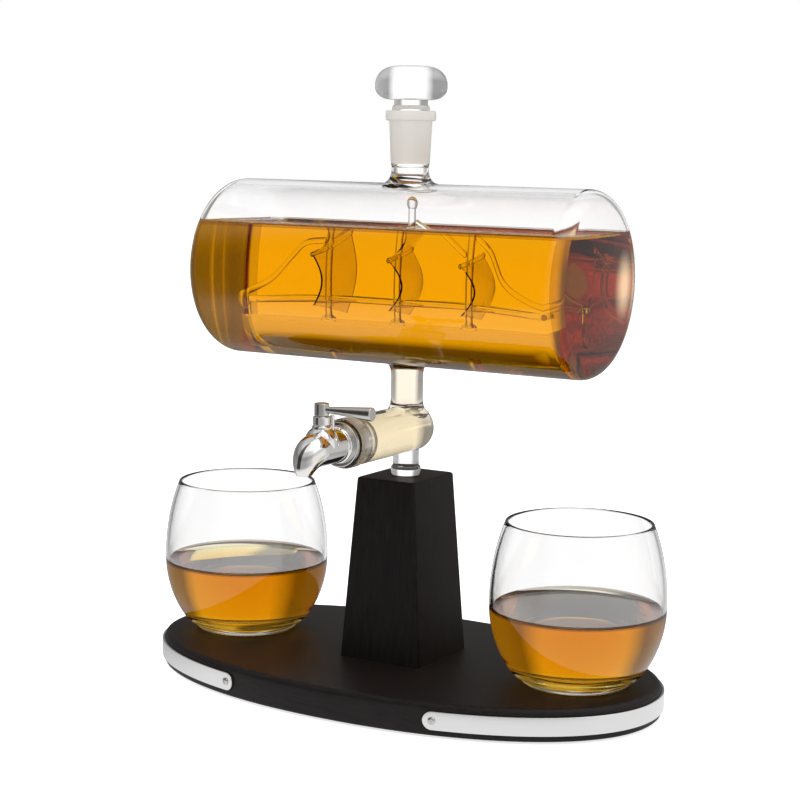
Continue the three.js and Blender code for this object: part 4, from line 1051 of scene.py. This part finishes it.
def makeRig(name):
    s, r, x = ship, rigs[name], ship["masts"][name]
    deck = -s["deckDrop"]
    yards = [(wide * r["width"], deck + high * r["height"]) for wide, high in r["yards"]]
    yardX = x + s["mastRadius"] / 2
    parts = []
    for (width, height), (nextWidth, nextHeight) in zip(yards, yards[1:]):
        parts.append(sweep([(yardX, width * side, height) for side in (-0.5, 0, 0.5)], s["rod"]))
        parts.append(sailForm(yardX, height, nextHeight, width, nextWidth, r["belly"]))
    mast = shifted(rod(s["mastRadius"], deck + s["gap"], deck + r["height"], 28), x=x)
    if name == "main":
        parts.append(ball(s["finial"], (x, 0, deck + r["height"]), s["finialShare"]))

    def pick(face):
        place = face.calc_center_median()
        if place.z > fill["level"]:
            return blownGlass
        inSail = place.x > x + s["mastRadius"] or abs(place.y) > s["mastRadius"]
        # The sails get the painted sail shade.
        return paintedSailShade if inSail else sunkGlass

    addPiece("rig_" + name, combine("UNION", mast, *parts), "decanter", [sunkGlass, blownGlass, paintedSailShade],
             ["ship_" + name + "_mast"], lift=pedestalTop + axisHeight, pick=pick)


# Heights are shares of the masts, and bends are shares of the way along and up.
stays = {
    "bowTop": 0.73, "mainTop": 0.83, "mainLow": 0.75, "sternTop": 0.93, "endShare": 0.75, "footShare": 0.85,
    "bowBends": ((0.34, 0.28), (0.6, 0.7), (0.75, 0.93)),
    "sternBends": ((0.19, 0.2), (0.39, 0.65), (0.7, 0.89)),
}


def makeStays():
    s, half = ship, ship["length"] / 2
    clear = s["mastRadius"] + s["gap"] + s["rod"] * stays["endShare"]
    railEnd = s["railEndRise"] - s["deckDrop"]
    bowFoot = s["bowBall"] * stays["footShare"]

    def up(name, share):
        return rigs[name]["height"] * share - s["deckDrop"]

    ends = {
        "bow": ((-half + bowFoot, railEnd + bowFoot),
                (s["masts"]["fore"] - clear, up("fore", stays["bowTop"])), stays["bowBends"]),
        "main": ((s["masts"]["main"] + clear, up("main", stays["mainTop"])),
                 (s["masts"]["mizzen"] - clear, up("mizzen", stays["mainLow"])), ()),
        "stern": ((s["masts"]["mizzen"] + clear, up("mizzen", stays["sternTop"])),
                  (half - s["sternRing"], railEnd + s["rod"] * 2 + s["gap"]), stays["sternBends"]),
    }
    for name, (start, end, bends) in ends.items():
        points = [(start[0] + (end[0] - start[0]) * along, 0, start[1] + (end[1] - start[1]) * rise)
                  for along, rise in ((0, 0), *bends, (1, 1))]
        addPiece("stay_" + name, sweep(smoothPath(points, 10), s["rod"]), "decanter", [sunkGlass],
                 ["ship_" + name + "_stay"], lift=pedestalTop + axisHeight)


makeHull()
for rigName in rigs:
    makeRig(rigName)
makeStays()
print("ship made")


# Tap, in a frame whose origin is on the peg's axis at the height of the tap tube

tap = {
    "bungLength": 14.5, "bungBore": 3.4, "bungLap": 0.05, "bungChamfer": 0.8,
    "washerThickness": 1.3, "washerRadius": 10.8,
    "flangeRadius": 10.7, "flangeThickness": 2.6, "flangeRound": 0.6,
    "flangeStep": 1.7, "flangeStepHeight": 0.9, "stepFillet": 0.15, "stepRound": 0.25,
    "tailRadius": 4.9, "tailTaper": 0.6, "tailLength": 12,
    "shoulderRadius": 8.9, "shoulderLength": 1.6, "barrelRadius": 7.9, "ease": 0.5, "ringStep": 1.5,
    "stemBeyondMouth": 18, "spoutBeyondStem": 14.1, "spoutDrop": 10, "spoutSteps": 36, "sides": 72,
    "nozzleRadius": 3.8, "nozzleWall": 0.9, "nozzleRound": 0.35, "boreRound": 0.2, "taperPower": 2.2,
    "neckRadius": 4.6, "neckTop": 11, "neckFoot": 9.7, "neckChamfer": 0.3,
    "shoulderBends": ((1, 0), (1, 0.4), (0.93, 0.75), (0.78, 1.02), (0.58, 1.2)),  # of the barrel's radius
    "bonnetRadius": 4, "bonnetHeight": 4, "bonnetRound": 0.4,
    "pinRadius": 1.15, "pinSetback": 8.9, "pinTop": 14.8, "pinRoot": 2,
    "pinRootShare": 1.5, "pinFootShare": 1.6, "pinFootTop": 1, "pinFootHeight": 1.2,
    "capRadius": 3.4, "capHeight": 5.8, "capRound": 0.35,
    "leverLength": 27.4, "leverRoot": 1.55, "leverEnd": 3.2, "leverRound": 0.5, "leverSink": 0.8,
    "gap": 0.15, "seatGap": 0.3,
}
mouth = vessel["tubeReach"]
stemReach = mouth + tap["stemBeyondMouth"]
washerFront = mouth + tap["washerThickness"]
flangeFront = washerFront + tap["flangeThickness"] + tap["flangeStepHeight"]
tapHeight = pedestalTop + vessel["tubeHeight"]


def addTapPiece(name, bm, material, node, body="decanter", sharp=32):
    return addPiece(name, bm, body, [material], [node], lift=tapHeight, sharp=sharp)


def makeMouthParts():
    t = tap
    rear, chamfer = mouth - t["bungLength"], t["bungChamfer"]
    radius = vessel["tubeRadius"] - vessel["wall"] + t["bungLap"]
    profile = [(t["bungBore"], rear), (radius - chamfer, rear), (radius, rear + chamfer)]
    profile += [(radius, mouth), (t["bungBore"], mouth)]
    addTapPiece("bung_silicone", alongTap(lathe(profile)), silicone, "tap_bung")
    inner = t["tailRadius"] + t["gap"]
    profile = [(inner, mouth), (t["washerRadius"], mouth)]
    profile += [(t["washerRadius"], washerFront), (inner, washerFront)]
    addTapPiece("washer_rubber", alongTap(lathe(profile)), blackRubber, "tap_washer")
    flat, face = t["flangeRadius"] - t["flangeRound"], washerFront + t["flangeThickness"]
    step, stepRound, front = t["flangeRadius"] - t["flangeStep"], t["stepRound"], face + t["flangeStepHeight"]
    profile = [(inner, washerFront)]
    profile += quarter(flat, washerFront + t["flangeRound"], t["flangeRound"], -t["flangeRound"], 5)[::-1]
    profile += quarter(flat, face - t["flangeRound"], t["flangeRound"], t["flangeRound"], 5)
    profile += [(step + t["stepFillet"], face), (step, face + t["stepFillet"])]
    profile += quarter(step - stepRound, front - stepRound, stepRound, stepRound, 4) + [(inner, front)]
    addTapPiece("flange_steel", alongTap(lathe(profile, 128)), satinSteel, "tap_flange")


# Stations along the tap body's middle line, each (turn from level, y, z, radius): outside from the tail to
# the nozzle, and then back up its bore.
def tapStations():
    t = tap
    tail, shoulder, barrel = t["tailRadius"], t["shoulderRadius"], t["barrelRadius"]
    nozzle, lip = t["nozzleRadius"], t["nozzleRound"]
    ease, drop, steps = t["ease"], t["spoutDrop"], t["spoutSteps"]
    centre = stemReach + t["spoutBeyondStem"] - drop
    front = flangeFront + t["shoulderLength"]
    straight = [(tail - t["tailTaper"], mouth - t["tailLength"]), (tail, mouth - ease * 2)]
    straight += [(tail, flangeFront), (shoulder - ease, flangeFront)]
    straight += [(shoulder - ease * 0.3, flangeFront + ease * 0.3)]
    straight += [(shoulder, flangeFront + ease), (shoulder, front - ease * 1.2)]
    straight += [(shoulder - ease * 0.4, front - ease / 2), (barrel + ease * 0.6, front)]
    straight += [(barrel + ease * 0.1, front + ease * 0.6)]
    reach = front + ease * 2
    while reach < centre - ease:
        straight.append((barrel, reach))
        reach += t["ringStep"]
    stations = [(0, -reach, 0, radius) for radius, reach in straight]

    def onBend(share, radius):
        angle = math.pi / 2 * share
        return (angle, -centre - drop * math.sin(angle), drop * (math.cos(angle) - 1), radius)

    for i in range(steps + 1):
        thinner = (i / steps) ** t["taperPower"]
        stations.append(onBend(i / steps, nozzle + (barrel - nozzle) * (1 - thinner)))
    angle, y, z, radius = stations[-1]
    inner, within = nozzle - t["nozzleWall"], t["boreRound"]
    lipAngles = (0.4, 0.8, 1.2, math.pi / 2)  # of the rings round the nozzle's lip
    stations += [(angle, y, z - lip * math.sin(a), nozzle - lip * (1 - math.cos(a))) for a in lipAngles]
    stations += [(angle, y, z - lip * math.cos(a), inner + within * (1 - math.sin(a))) for a in lipAngles]
    return stations + [onBend(1 - i / steps, inner) for i in range(steps // 2 + 1)]


# The body is one buffed form from its shoulder, through the barrel, down to the nozzle.
def makeTapBody():
    t = tap
    turns = [2 * math.pi * i / t["sides"] for i in range(t["sides"])]
    rings = []
    for angle, y, z, radius in tapStations():
        lean, rise = radius * math.sin(angle), radius * math.cos(angle)
        rings.append([(radius * math.cos(a), y - lean * math.sin(a), z + rise * math.sin(a)) for a in turns])
    bends = smoothPath([(r * t["barrelRadius"], z * t["barrelRadius"], 0) for r, z in t["shoulderBends"]], 6)
    top, chamfer = t["neckTop"], t["neckChamfer"]
    profile = [(0, 0)] + [(p.x, p.y) for p in bends] + [(t["neckRadius"], t["neckFoot"])]
    profile += [(t["bonnetRadius"] + chamfer, top - chamfer), (t["bonnetRadius"], top), (0, top)]
    neck = shifted(lathe(profile, t["sides"]), y=-stemReach)
    addTapPiece("tap_body_steel", combine("UNION", loft(rings), neck), mirrorSteel,
                "tap_body", sharp=38)


def makeBonnet():
    t = tap
    low = t["neckTop"] + t["gap"]
    high, flat = low + t["bonnetHeight"], t["bonnetRadius"] - t["bonnetRound"]
    profile = [(0, low)] + quarter(flat, low + t["bonnetRound"], t["bonnetRound"], -t["bonnetRound"], 6)[::-1]
    profile += quarter(flat, high - t["bonnetRound"], t["bonnetRound"], t["bonnetRound"], 6) + [(0, high)]
    addTapPiece("bonnet_steel", shifted(lathe(profile, 64), y=-stemReach), mirrorSteel,
                "tap_bonnet")
    pin, root, wide = t["pinRadius"], t["barrelRadius"] - t["pinRoot"], t["pinRadius"] * t["pinFootShare"]
    profile = [(0, root), (pin * t["pinRootShare"], root)]
    profile += quarter(wide, t["barrelRadius"] + t["pinFootTop"], pin - wide, -t["pinFootHeight"], 6)[::-1]
    profile += quarter(0, t["pinTop"] - pin / 2, pin, pin / 2, 8)
    addTapPiece("stop_pin_steel", shifted(lathe(profile, 40), y=t["pinSetback"] - stemReach), mirrorSteel,
                "tap_stop_pin")


def makeLever():
    t = tap
    low = t["neckTop"] + t["gap"] + t["bonnetHeight"] + t["seatGap"]
    high, flat = low + t["capHeight"], t["capRadius"] - t["capRound"]
    level = low + t["capHeight"] / 2
    profile = [(0, low)] + quarter(flat, low + t["capRound"], t["capRound"], -t["capRound"], 6)[::-1]
    profile += quarter(flat, high - t["capRound"], t["capRound"], t["capRound"], 6) + [(0, high)]
    cap = shifted(lathe(profile, 64), y=-stemReach)
    addTapPiece("cap_steel", cap, satinSteel, "valve_cap", "valve")
    start, end = t["capRadius"] - t["leverSink"], t["leverEnd"] - t["leverRound"]
    profile = [(0, start), (t["leverRoot"], start), (t["leverRoot"], t["capRadius"] + t["seatGap"])]
    profile += quarter(end, t["leverLength"] - t["leverRound"], t["leverRound"], t["leverRound"], 8)
    lever = shifted(alongX(lathe(profile + [(0, t["leverLength"])], 64)), y=-stemReach, z=level)
    addTapPiece("lever_steel", lever, satinSteel, "tap_lever", "valve")


makeMouthParts()
makeTapBody()
makeBonnet()
makeLever()
dress("valve_plug", satinSteel)
dress("valve_seal_lower", blackRubber)
dress("valve_seal_upper", blackRubber)
print("tap made")


# Tumblers

tumbler = {
    "height": 77.1, "rim": 34.8, "belly": 42, "bellyHeight": 38, "foot": 26.8, "footRound": 2.6,
    "wall": 1.7, "floor": 5.6, "floorTurn": 0.26, "floorPower": 2.4, "level": 34.5, "segments": 144,
    "hollow": 0.6, "hollowShare": 0.6, "standShare": 0.8,  # underneath: its height, and shares of the foot
    # Rings of the whiskey's surface, in mm from the glass
    "surfaceRings": (25, 17, 12, 9, 7, 5.5, 4.5, 3.6, 2.8, 2.2, 1.7, 1.3, 0.9, 0.6, 0.3, 0.1),
}


def tumblerRadius(z):
    t = tumbler
    below = z < t["bellyHeight"]
    rimOrFoot = t["foot"] if below else t["rim"]
    span = t["bellyHeight"] if below else t["height"] - t["bellyHeight"]
    drawnIn = 1 - (rimOrFoot / t["belly"]) ** 2
    return t["belly"] * math.sqrt(1 - drawnIn * ((z - t["bellyHeight"]) / span) ** 2)


# The inside from a height down to the middle of the floor, moved out by lap.
def tumblerInside(top, steps, lap=0):
    t = tumbler
    turn = t["floor"] + t["bellyHeight"] * t["floorTurn"]
    heights = [top + (turn - top) * i / steps for i in range(steps + 1)]
    reach = tumblerRadius(turn) - t["wall"]
    floor = quarter(0, turn, reach, t["floor"] - turn, 18, t["floorPower"])
    grown = []
    for r, z in [(tumblerRadius(z) - t["wall"], z) for z in heights] + floor[1:]:
        low = max(0, (turn - z) / (turn - t["floor"]))
        grown.append((r + lap * (1 - low) if r > 0 else 0, z - lap * low))
    return grown


def makeTumbler(side):
    t = tumbler
    lip = t["wall"] / 2
    foot = quarter(t["foot"] - t["footRound"], t["footRound"], t["footRound"], -t["footRound"], 8)[::-1]
    high = t["height"] - lip
    heights = [t["footRound"] + (high - t["footRound"]) * i / 40 for i in range(1, 41)]
    rim = tumblerRadius(high) - lip
    turns = [math.pi * i / 10 for i in range(1, 10)]
    profile = [(0, t["hollow"]), (t["foot"] * t["hollowShare"], t["hollow"])]
    profile += [(t["foot"] * t["standShare"], 0)]
    profile += foot + [(tumblerRadius(z), z) for z in heights]
    profile += [(rim + lip * math.cos(a), high + lip * math.sin(a)) for a in turns] + tumblerInside(high, 28)
    level, top, lap = t["level"], t["level"] + fill["meniscus"], fill["lap"]
    wall = tumblerRadius(top) - t["wall"] + lap
    surface = [(0, level)]
    for away in t["surfaceRings"]:
        climb = fill["meniscus"] * math.exp(-max(0, away - lap) / fill["reach"])
        surface.append((wall - away, level + climb))
    drink = lathe(surface + tumblerInside(top, 20, lap), t["segments"])
    markFreeSurface(drink, level)
    wetted = wettedBy(drink)

    def pick(face):
        if not wetted(face):
            return blownGlass
        # The band above the level gets the painted rim shade.
        return paintedRimShade if face.calc_center_median().z > level else wettedGlass

    glass = splitAt(lathe(profile, t["segments"]), level, top)
    addPiece("glass_tumbler_" + side, glass, "tumbler_" + side, [blownGlass, wettedGlass, paintedRimShade],
             ["tumbler_" + side], lift=boardTop, x=tumblerPlaces[side], pick=pick)
    addPiece("whiskey_tumbler_" + side, drink, "tumbler_" + side, [tumblerWhiskey],
             lift=boardTop, x=tumblerPlaces[side])


for tumblerSide in tumblerPlaces:
    makeTumbler(tumblerSide)
print("tumblers made")


# Studio: a pale floor, a white backdrop, soft lamps

studio = {
    "facing": (-0.51, 0.86),  # level direction from the camera to the backdrop
    "plain": 0.55,  # brightness of the room on matt surfaces
    "floorSize": 6, "paper": "#EDEDED",  # m
    # Brightness of the floor to the camera, on matt surfaces, and as mirrored near the object: before and
    # behind it, from one distance to the other ahead in m. Past the reach in m it mirrors as the room does.
    "floorGlow": 0.72, "floorPlain": 0.35, "floorNear": (0.95, 0.4), "floorTurn": (-0.02, 0.1),
    "floorReach": (0.25, 0.5),
    # Brightness of the room through glass, by the angle to the right of the backdrop in degrees
    "through": ((-180, 0.6), (-140, 0.6), (-120, 0.3), (-26, 0.3), (-14, 1.15), (18, 1.15), (28, 0.35),
                (63, 0.5), (64.5, 1.2), (66, 0.5), (72, 0.5), (73, 0.9), (74, 0.5), (80, 0.4),
                (95, 0.6), (180, 0.6)),
    # by the rise of the direction, with the share of the white floor
    "throughUp": ((-1, 1), (0.28, 1), (0.45, 0.86), (0.62, 0.72), (0.76, 0.4), (0.88, 0.14), (1, 0.14)),
    "throughFloor": ((-1, 1), (-0.5, 1), (-0.12, 0), (1, 0)),
    # and by its lean along the cylinder, where the light leaves that has run through the cylinder's length
    "throughAlong": ((-1, 1), (-0.62, 1), (-0.56, 0.2), (-0.42, 0.2), (-0.36, 1), (1, 1)),
    "clearAhead": ((-1, 0), (0.8, 0), (0.9, 1), (1, 1)),  # none of that towards the backdrop
    # The same as mirrored in glass and steel
    "mirrored": ((-180, 0.4), (-142, 0.4), (-133, 0.05), (-106, 0.05), (-98, 0.3), (-60, 0.25), (-30, 0.25),
                 (30, 0.25), (45, 0.5), (75, 0.6), (88, 0.9), (130, 0.9), (145, 0.6), (180, 0.4)),
    "mirroredUp": ((-1, 1), (0.1, 1), (0.35, 0.7), (0.55, 1.4), (0.7, 1.5), (0.8, 2.5), (1, 2.5)),
}
softbox = {
    "from": (100, 0, 200),  # mm: the place on the cylinder's end that mirrors it
    "way": (0.27, 0.96, -0.07), "distance": 450, "half": (44, 46),
    "glow": 4.4, "tint": "#F2E2B4", "soft": 0.9,
}
lamps = {
    "key": {"place": (-0.9, -1.3, 1.5), "size": (0.9, 0.9), "power": 11},
    "fill": {"place": (1.5, -0.4, 0.9), "size": (0.7, 1.0), "power": 7},
    "top": {"place": (0.1, 0.1, 1.9), "size": (1.2, 0.8), "power": 9},
}


# Grey levels at places along a scale from low to high, with straight runs between them.
def levels(tree, source, low, high, stops):
    node = addNode(tree, "ShaderNodeValToRGB")
    share = addNode(tree, "ShaderNodeMapRange", {"From Min": low, "From Max": high}, {"Value": source})
    tree.links.new(share.outputs[0], node.inputs[0])
    marks = node.color_ramp.elements
    while len(marks) < len(stops):
        marks.new(0.5)
    for mark, (place, level) in zip(marks, stops):
        mark.position = (place - low) / (high - low)
        mark.color = (level, level, level, 1)
    return node.outputs[0]


# Brightness of the room along a direction, as it is seen through glass or mirrored.
def room(tree, way, mirrored):
    s = studio
    facing = s["facing"]

    def along(*axis):
        node = addNode(tree, "ShaderNodeVectorMath", {1: axis}, {0: way}, operation="DOT_PRODUCT")
        return node.outputs["Value"]

    def product(a, b, operation="MULTIPLY"):
        return addNode(tree, "ShaderNodeMath", links={0: a, 1: b}, operation=operation).outputs[0]

    ahead = along(*facing, 0)
    turn = product(along(facing[1], -facing[0], 0), ahead, "ARCTAN2")
    across, up = (s["mirrored"], s["mirroredUp"]) if mirrored else (s["through"], s["throughUp"])
    sides = levels(tree, turn, -math.pi, math.pi, [(math.radians(place), level) for place, level in across])
    rise = along(0, 0, 1)
    light = product(sides, levels(tree, rise, -1, 1, up))
    if mirrored:
        return light
    floor = levels(tree, rise, -1, 1, s["throughFloor"])
    light = addNode(tree, "ShaderNodeMix", {3: 1}, {0: floor, 2: light}).outputs[0]
    shade = levels(tree, along(1, 0, 0), -1, 1, s["throughAlong"])
    return product(light, product(shade, levels(tree, ahead, -1, 1, s["clearAhead"]), "MAXIMUM"))


def makeWorld():
    world = bpy.data.worlds.new("studio")
    scene.world = world
    world.use_nodes = True
    tree = world.node_tree
    tree.nodes.clear()
    path = addNode(tree, "ShaderNodeLightPath")
    way = addNode(tree, "ShaderNodeTexCoord").outputs["Generated"]
    glossy = addNode(tree, "ShaderNodeMix", {2: studio["plain"]},
                     {0: path.outputs["Is Glossy Ray"], 3: room(tree, way, True)})
    clear = addNode(tree, "ShaderNodeMix", links={
        0: path.outputs["Is Transmission Ray"], 2: glossy.outputs[0], 3: room(tree, way, False),
    })
    shown = addNode(tree, "ShaderNodeMix", {3: 1}, {0: path.outputs["Is Camera Ray"], 2: clear.outputs[0]})
    light = addNode(tree, "ShaderNodeBackground", {"Color": (1, 1, 1, 1)}, {"Strength": shown.outputs[0]})
    addNode(tree, "ShaderNodeOutputWorld", links={"Surface": light.outputs[0]})


def makeFloor():
    bm = bmesh.new()
    bmesh.ops.create_grid(bm, x_segments=1, y_segments=1, size=studio["floorSize"] / 2)
    mesh = bpy.data.meshes.new("floor")
    bm.to_mesh(mesh)
    bm.free()
    floor = bpy.data.objects.new("floor", mesh)
    scene.collection.objects.link(floor)
    floor.location.z = cadBox[0].z
    floor.visible_transmission = False  # glass looks past it, into the room
    material, tree = startMaterial("paperFloor")
    path = addNode(tree, "ShaderNodeLightPath")
    place = addNode(tree, "ShaderNodeTexCoord").outputs["Object"]
    away = addNode(tree, "ShaderNodeVectorMath", links={0: place}, operation="LENGTH").outputs["Value"]
    nearest, farthest = studio["floorReach"]
    near = addNode(tree, "ShaderNodeMapRange",
                   {"From Min": nearest, "From Max": farthest, "To Min": 1, "To Max": 0},
                   {"Value": away}, interpolation_type="SMOOTHSTEP")
    ahead = addNode(tree, "ShaderNodeVectorMath", {1: (*studio["facing"], 0)}, {0: place},
                    operation="DOT_PRODUCT").outputs["Value"]
    (first, last), (before, behind) = studio["floorTurn"], studio["floorNear"]
    front = addNode(tree, "ShaderNodeMapRange",
                    {"From Min": first, "From Max": last, "To Min": before, "To Max": behind},
                    {"Value": ahead})
    way = addNode(tree, "ShaderNodeVectorMath", links={0: place}, operation="NORMALIZE").outputs[0]
    shine = addNode(tree, "ShaderNodeMix", links={
        0: near.outputs[0], 2: room(tree, way, True), 3: front.outputs[0],
    })
    glossy = addNode(tree, "ShaderNodeMix", {2: studio["floorPlain"]},
                     {0: path.outputs["Is Glossy Ray"], 3: shine.outputs[0]})
    shown = addNode(tree, "ShaderNodeMix", {3: studio["floorGlow"]},
                    {0: path.outputs["Is Camera Ray"], 2: glossy.outputs[0]})
    emission = addNode(tree, "ShaderNodeEmission", {"Color": (1, 1, 1, 1)}, {"Strength": shown.outputs[0]})
    paper = addNode(tree, "ShaderNodeBsdfDiffuse", {"Color": colour(studio["paper"])})
    both = addNode(tree, "ShaderNodeAddShader", links={0: emission.outputs[0], 1: paper.outputs[0]})
    only = addNode(tree, "ShaderNodeMixShader", links={
        0: path.outputs["Is Glossy Ray"], 1: both.outputs[0], 2: emission.outputs[0],
    })
    addNode(tree, "ShaderNodeOutputMaterial", links={"Surface": only.outputs[0]})
    mesh.materials.append(material)


# A round softbox behind the object, which shows only where the object mirrors it.
def makeSoftbox():
    s = softbox
    bm = bmesh.new()
    bmesh.ops.create_circle(bm, cap_ends=True, segments=64, radius=1)
    mesh = bpy.data.meshes.new("softbox")
    bm.to_mesh(mesh)
    bm.free()
    panel = bpy.data.objects.new("softbox", mesh)
    scene.collection.objects.link(panel)
    way = Vector(s["way"]).normalized()
    turn = way.to_track_quat("Z", "Y").to_matrix().to_4x4()
    place = (Vector(s["from"]) + way * s["distance"]) * mm
    size = Matrix.Diagonal((s["half"][0] * mm, s["half"][1] * mm, 1, 1))
    panel.matrix_world = Matrix.Translation(place) @ turn @ size
    for kind in ("camera", "diffuse", "transmission", "shadow"):
        setattr(panel, "visible_" + kind, False)
    material, tree = startMaterial("softboxCloth")
    middle = addNode(tree, "ShaderNodeTexCoord").outputs["Object"]
    away = addNode(tree, "ShaderNodeVectorMath", links={0: middle}, operation="LENGTH").outputs["Value"]
    fade = addNode(tree, "ShaderNodeMapRange",
                   {"From Min": 1, "From Max": 1 - s["soft"], "To Max": s["glow"]},
                   {"Value": away}, interpolation_type="SMOOTHSTEP")
    light = addNode(tree, "ShaderNodeEmission", {"Color": colour(s["tint"])}, {"Strength": fade.outputs[0]})
    nothing = addNode(tree, "ShaderNodeBsdfTransparent")
    both = addNode(tree, "ShaderNodeAddShader", links={0: light.outputs[0], 1: nothing.outputs[0]})
    addNode(tree, "ShaderNodeOutputMaterial", links={"Surface": both.outputs[0]})
    mesh.materials.append(material)


def makeLamps():
    aim = (cadBox[0] + cadBox[1]) / 2
    for name, lamp in lamps.items():
        data = bpy.data.lights.new(name, "AREA")
        data.shape = "RECTANGLE"
        data.size, data.size_y = lamp["size"]
        data.energy = lamp["power"]
        obj = bpy.data.objects.new(name, data)
        scene.collection.objects.link(obj)
        obj.location = lamp["place"]
        obj.rotation_euler = (Vector(lamp["place"]) - aim).to_track_quat("Z", "Y").to_euler()
        obj.visible_camera = False
        obj.visible_glossy = False
        obj.visible_transmission = False


makeWorld()
makeFloor()
makeSoftbox()
makeLamps()
print("studio made")
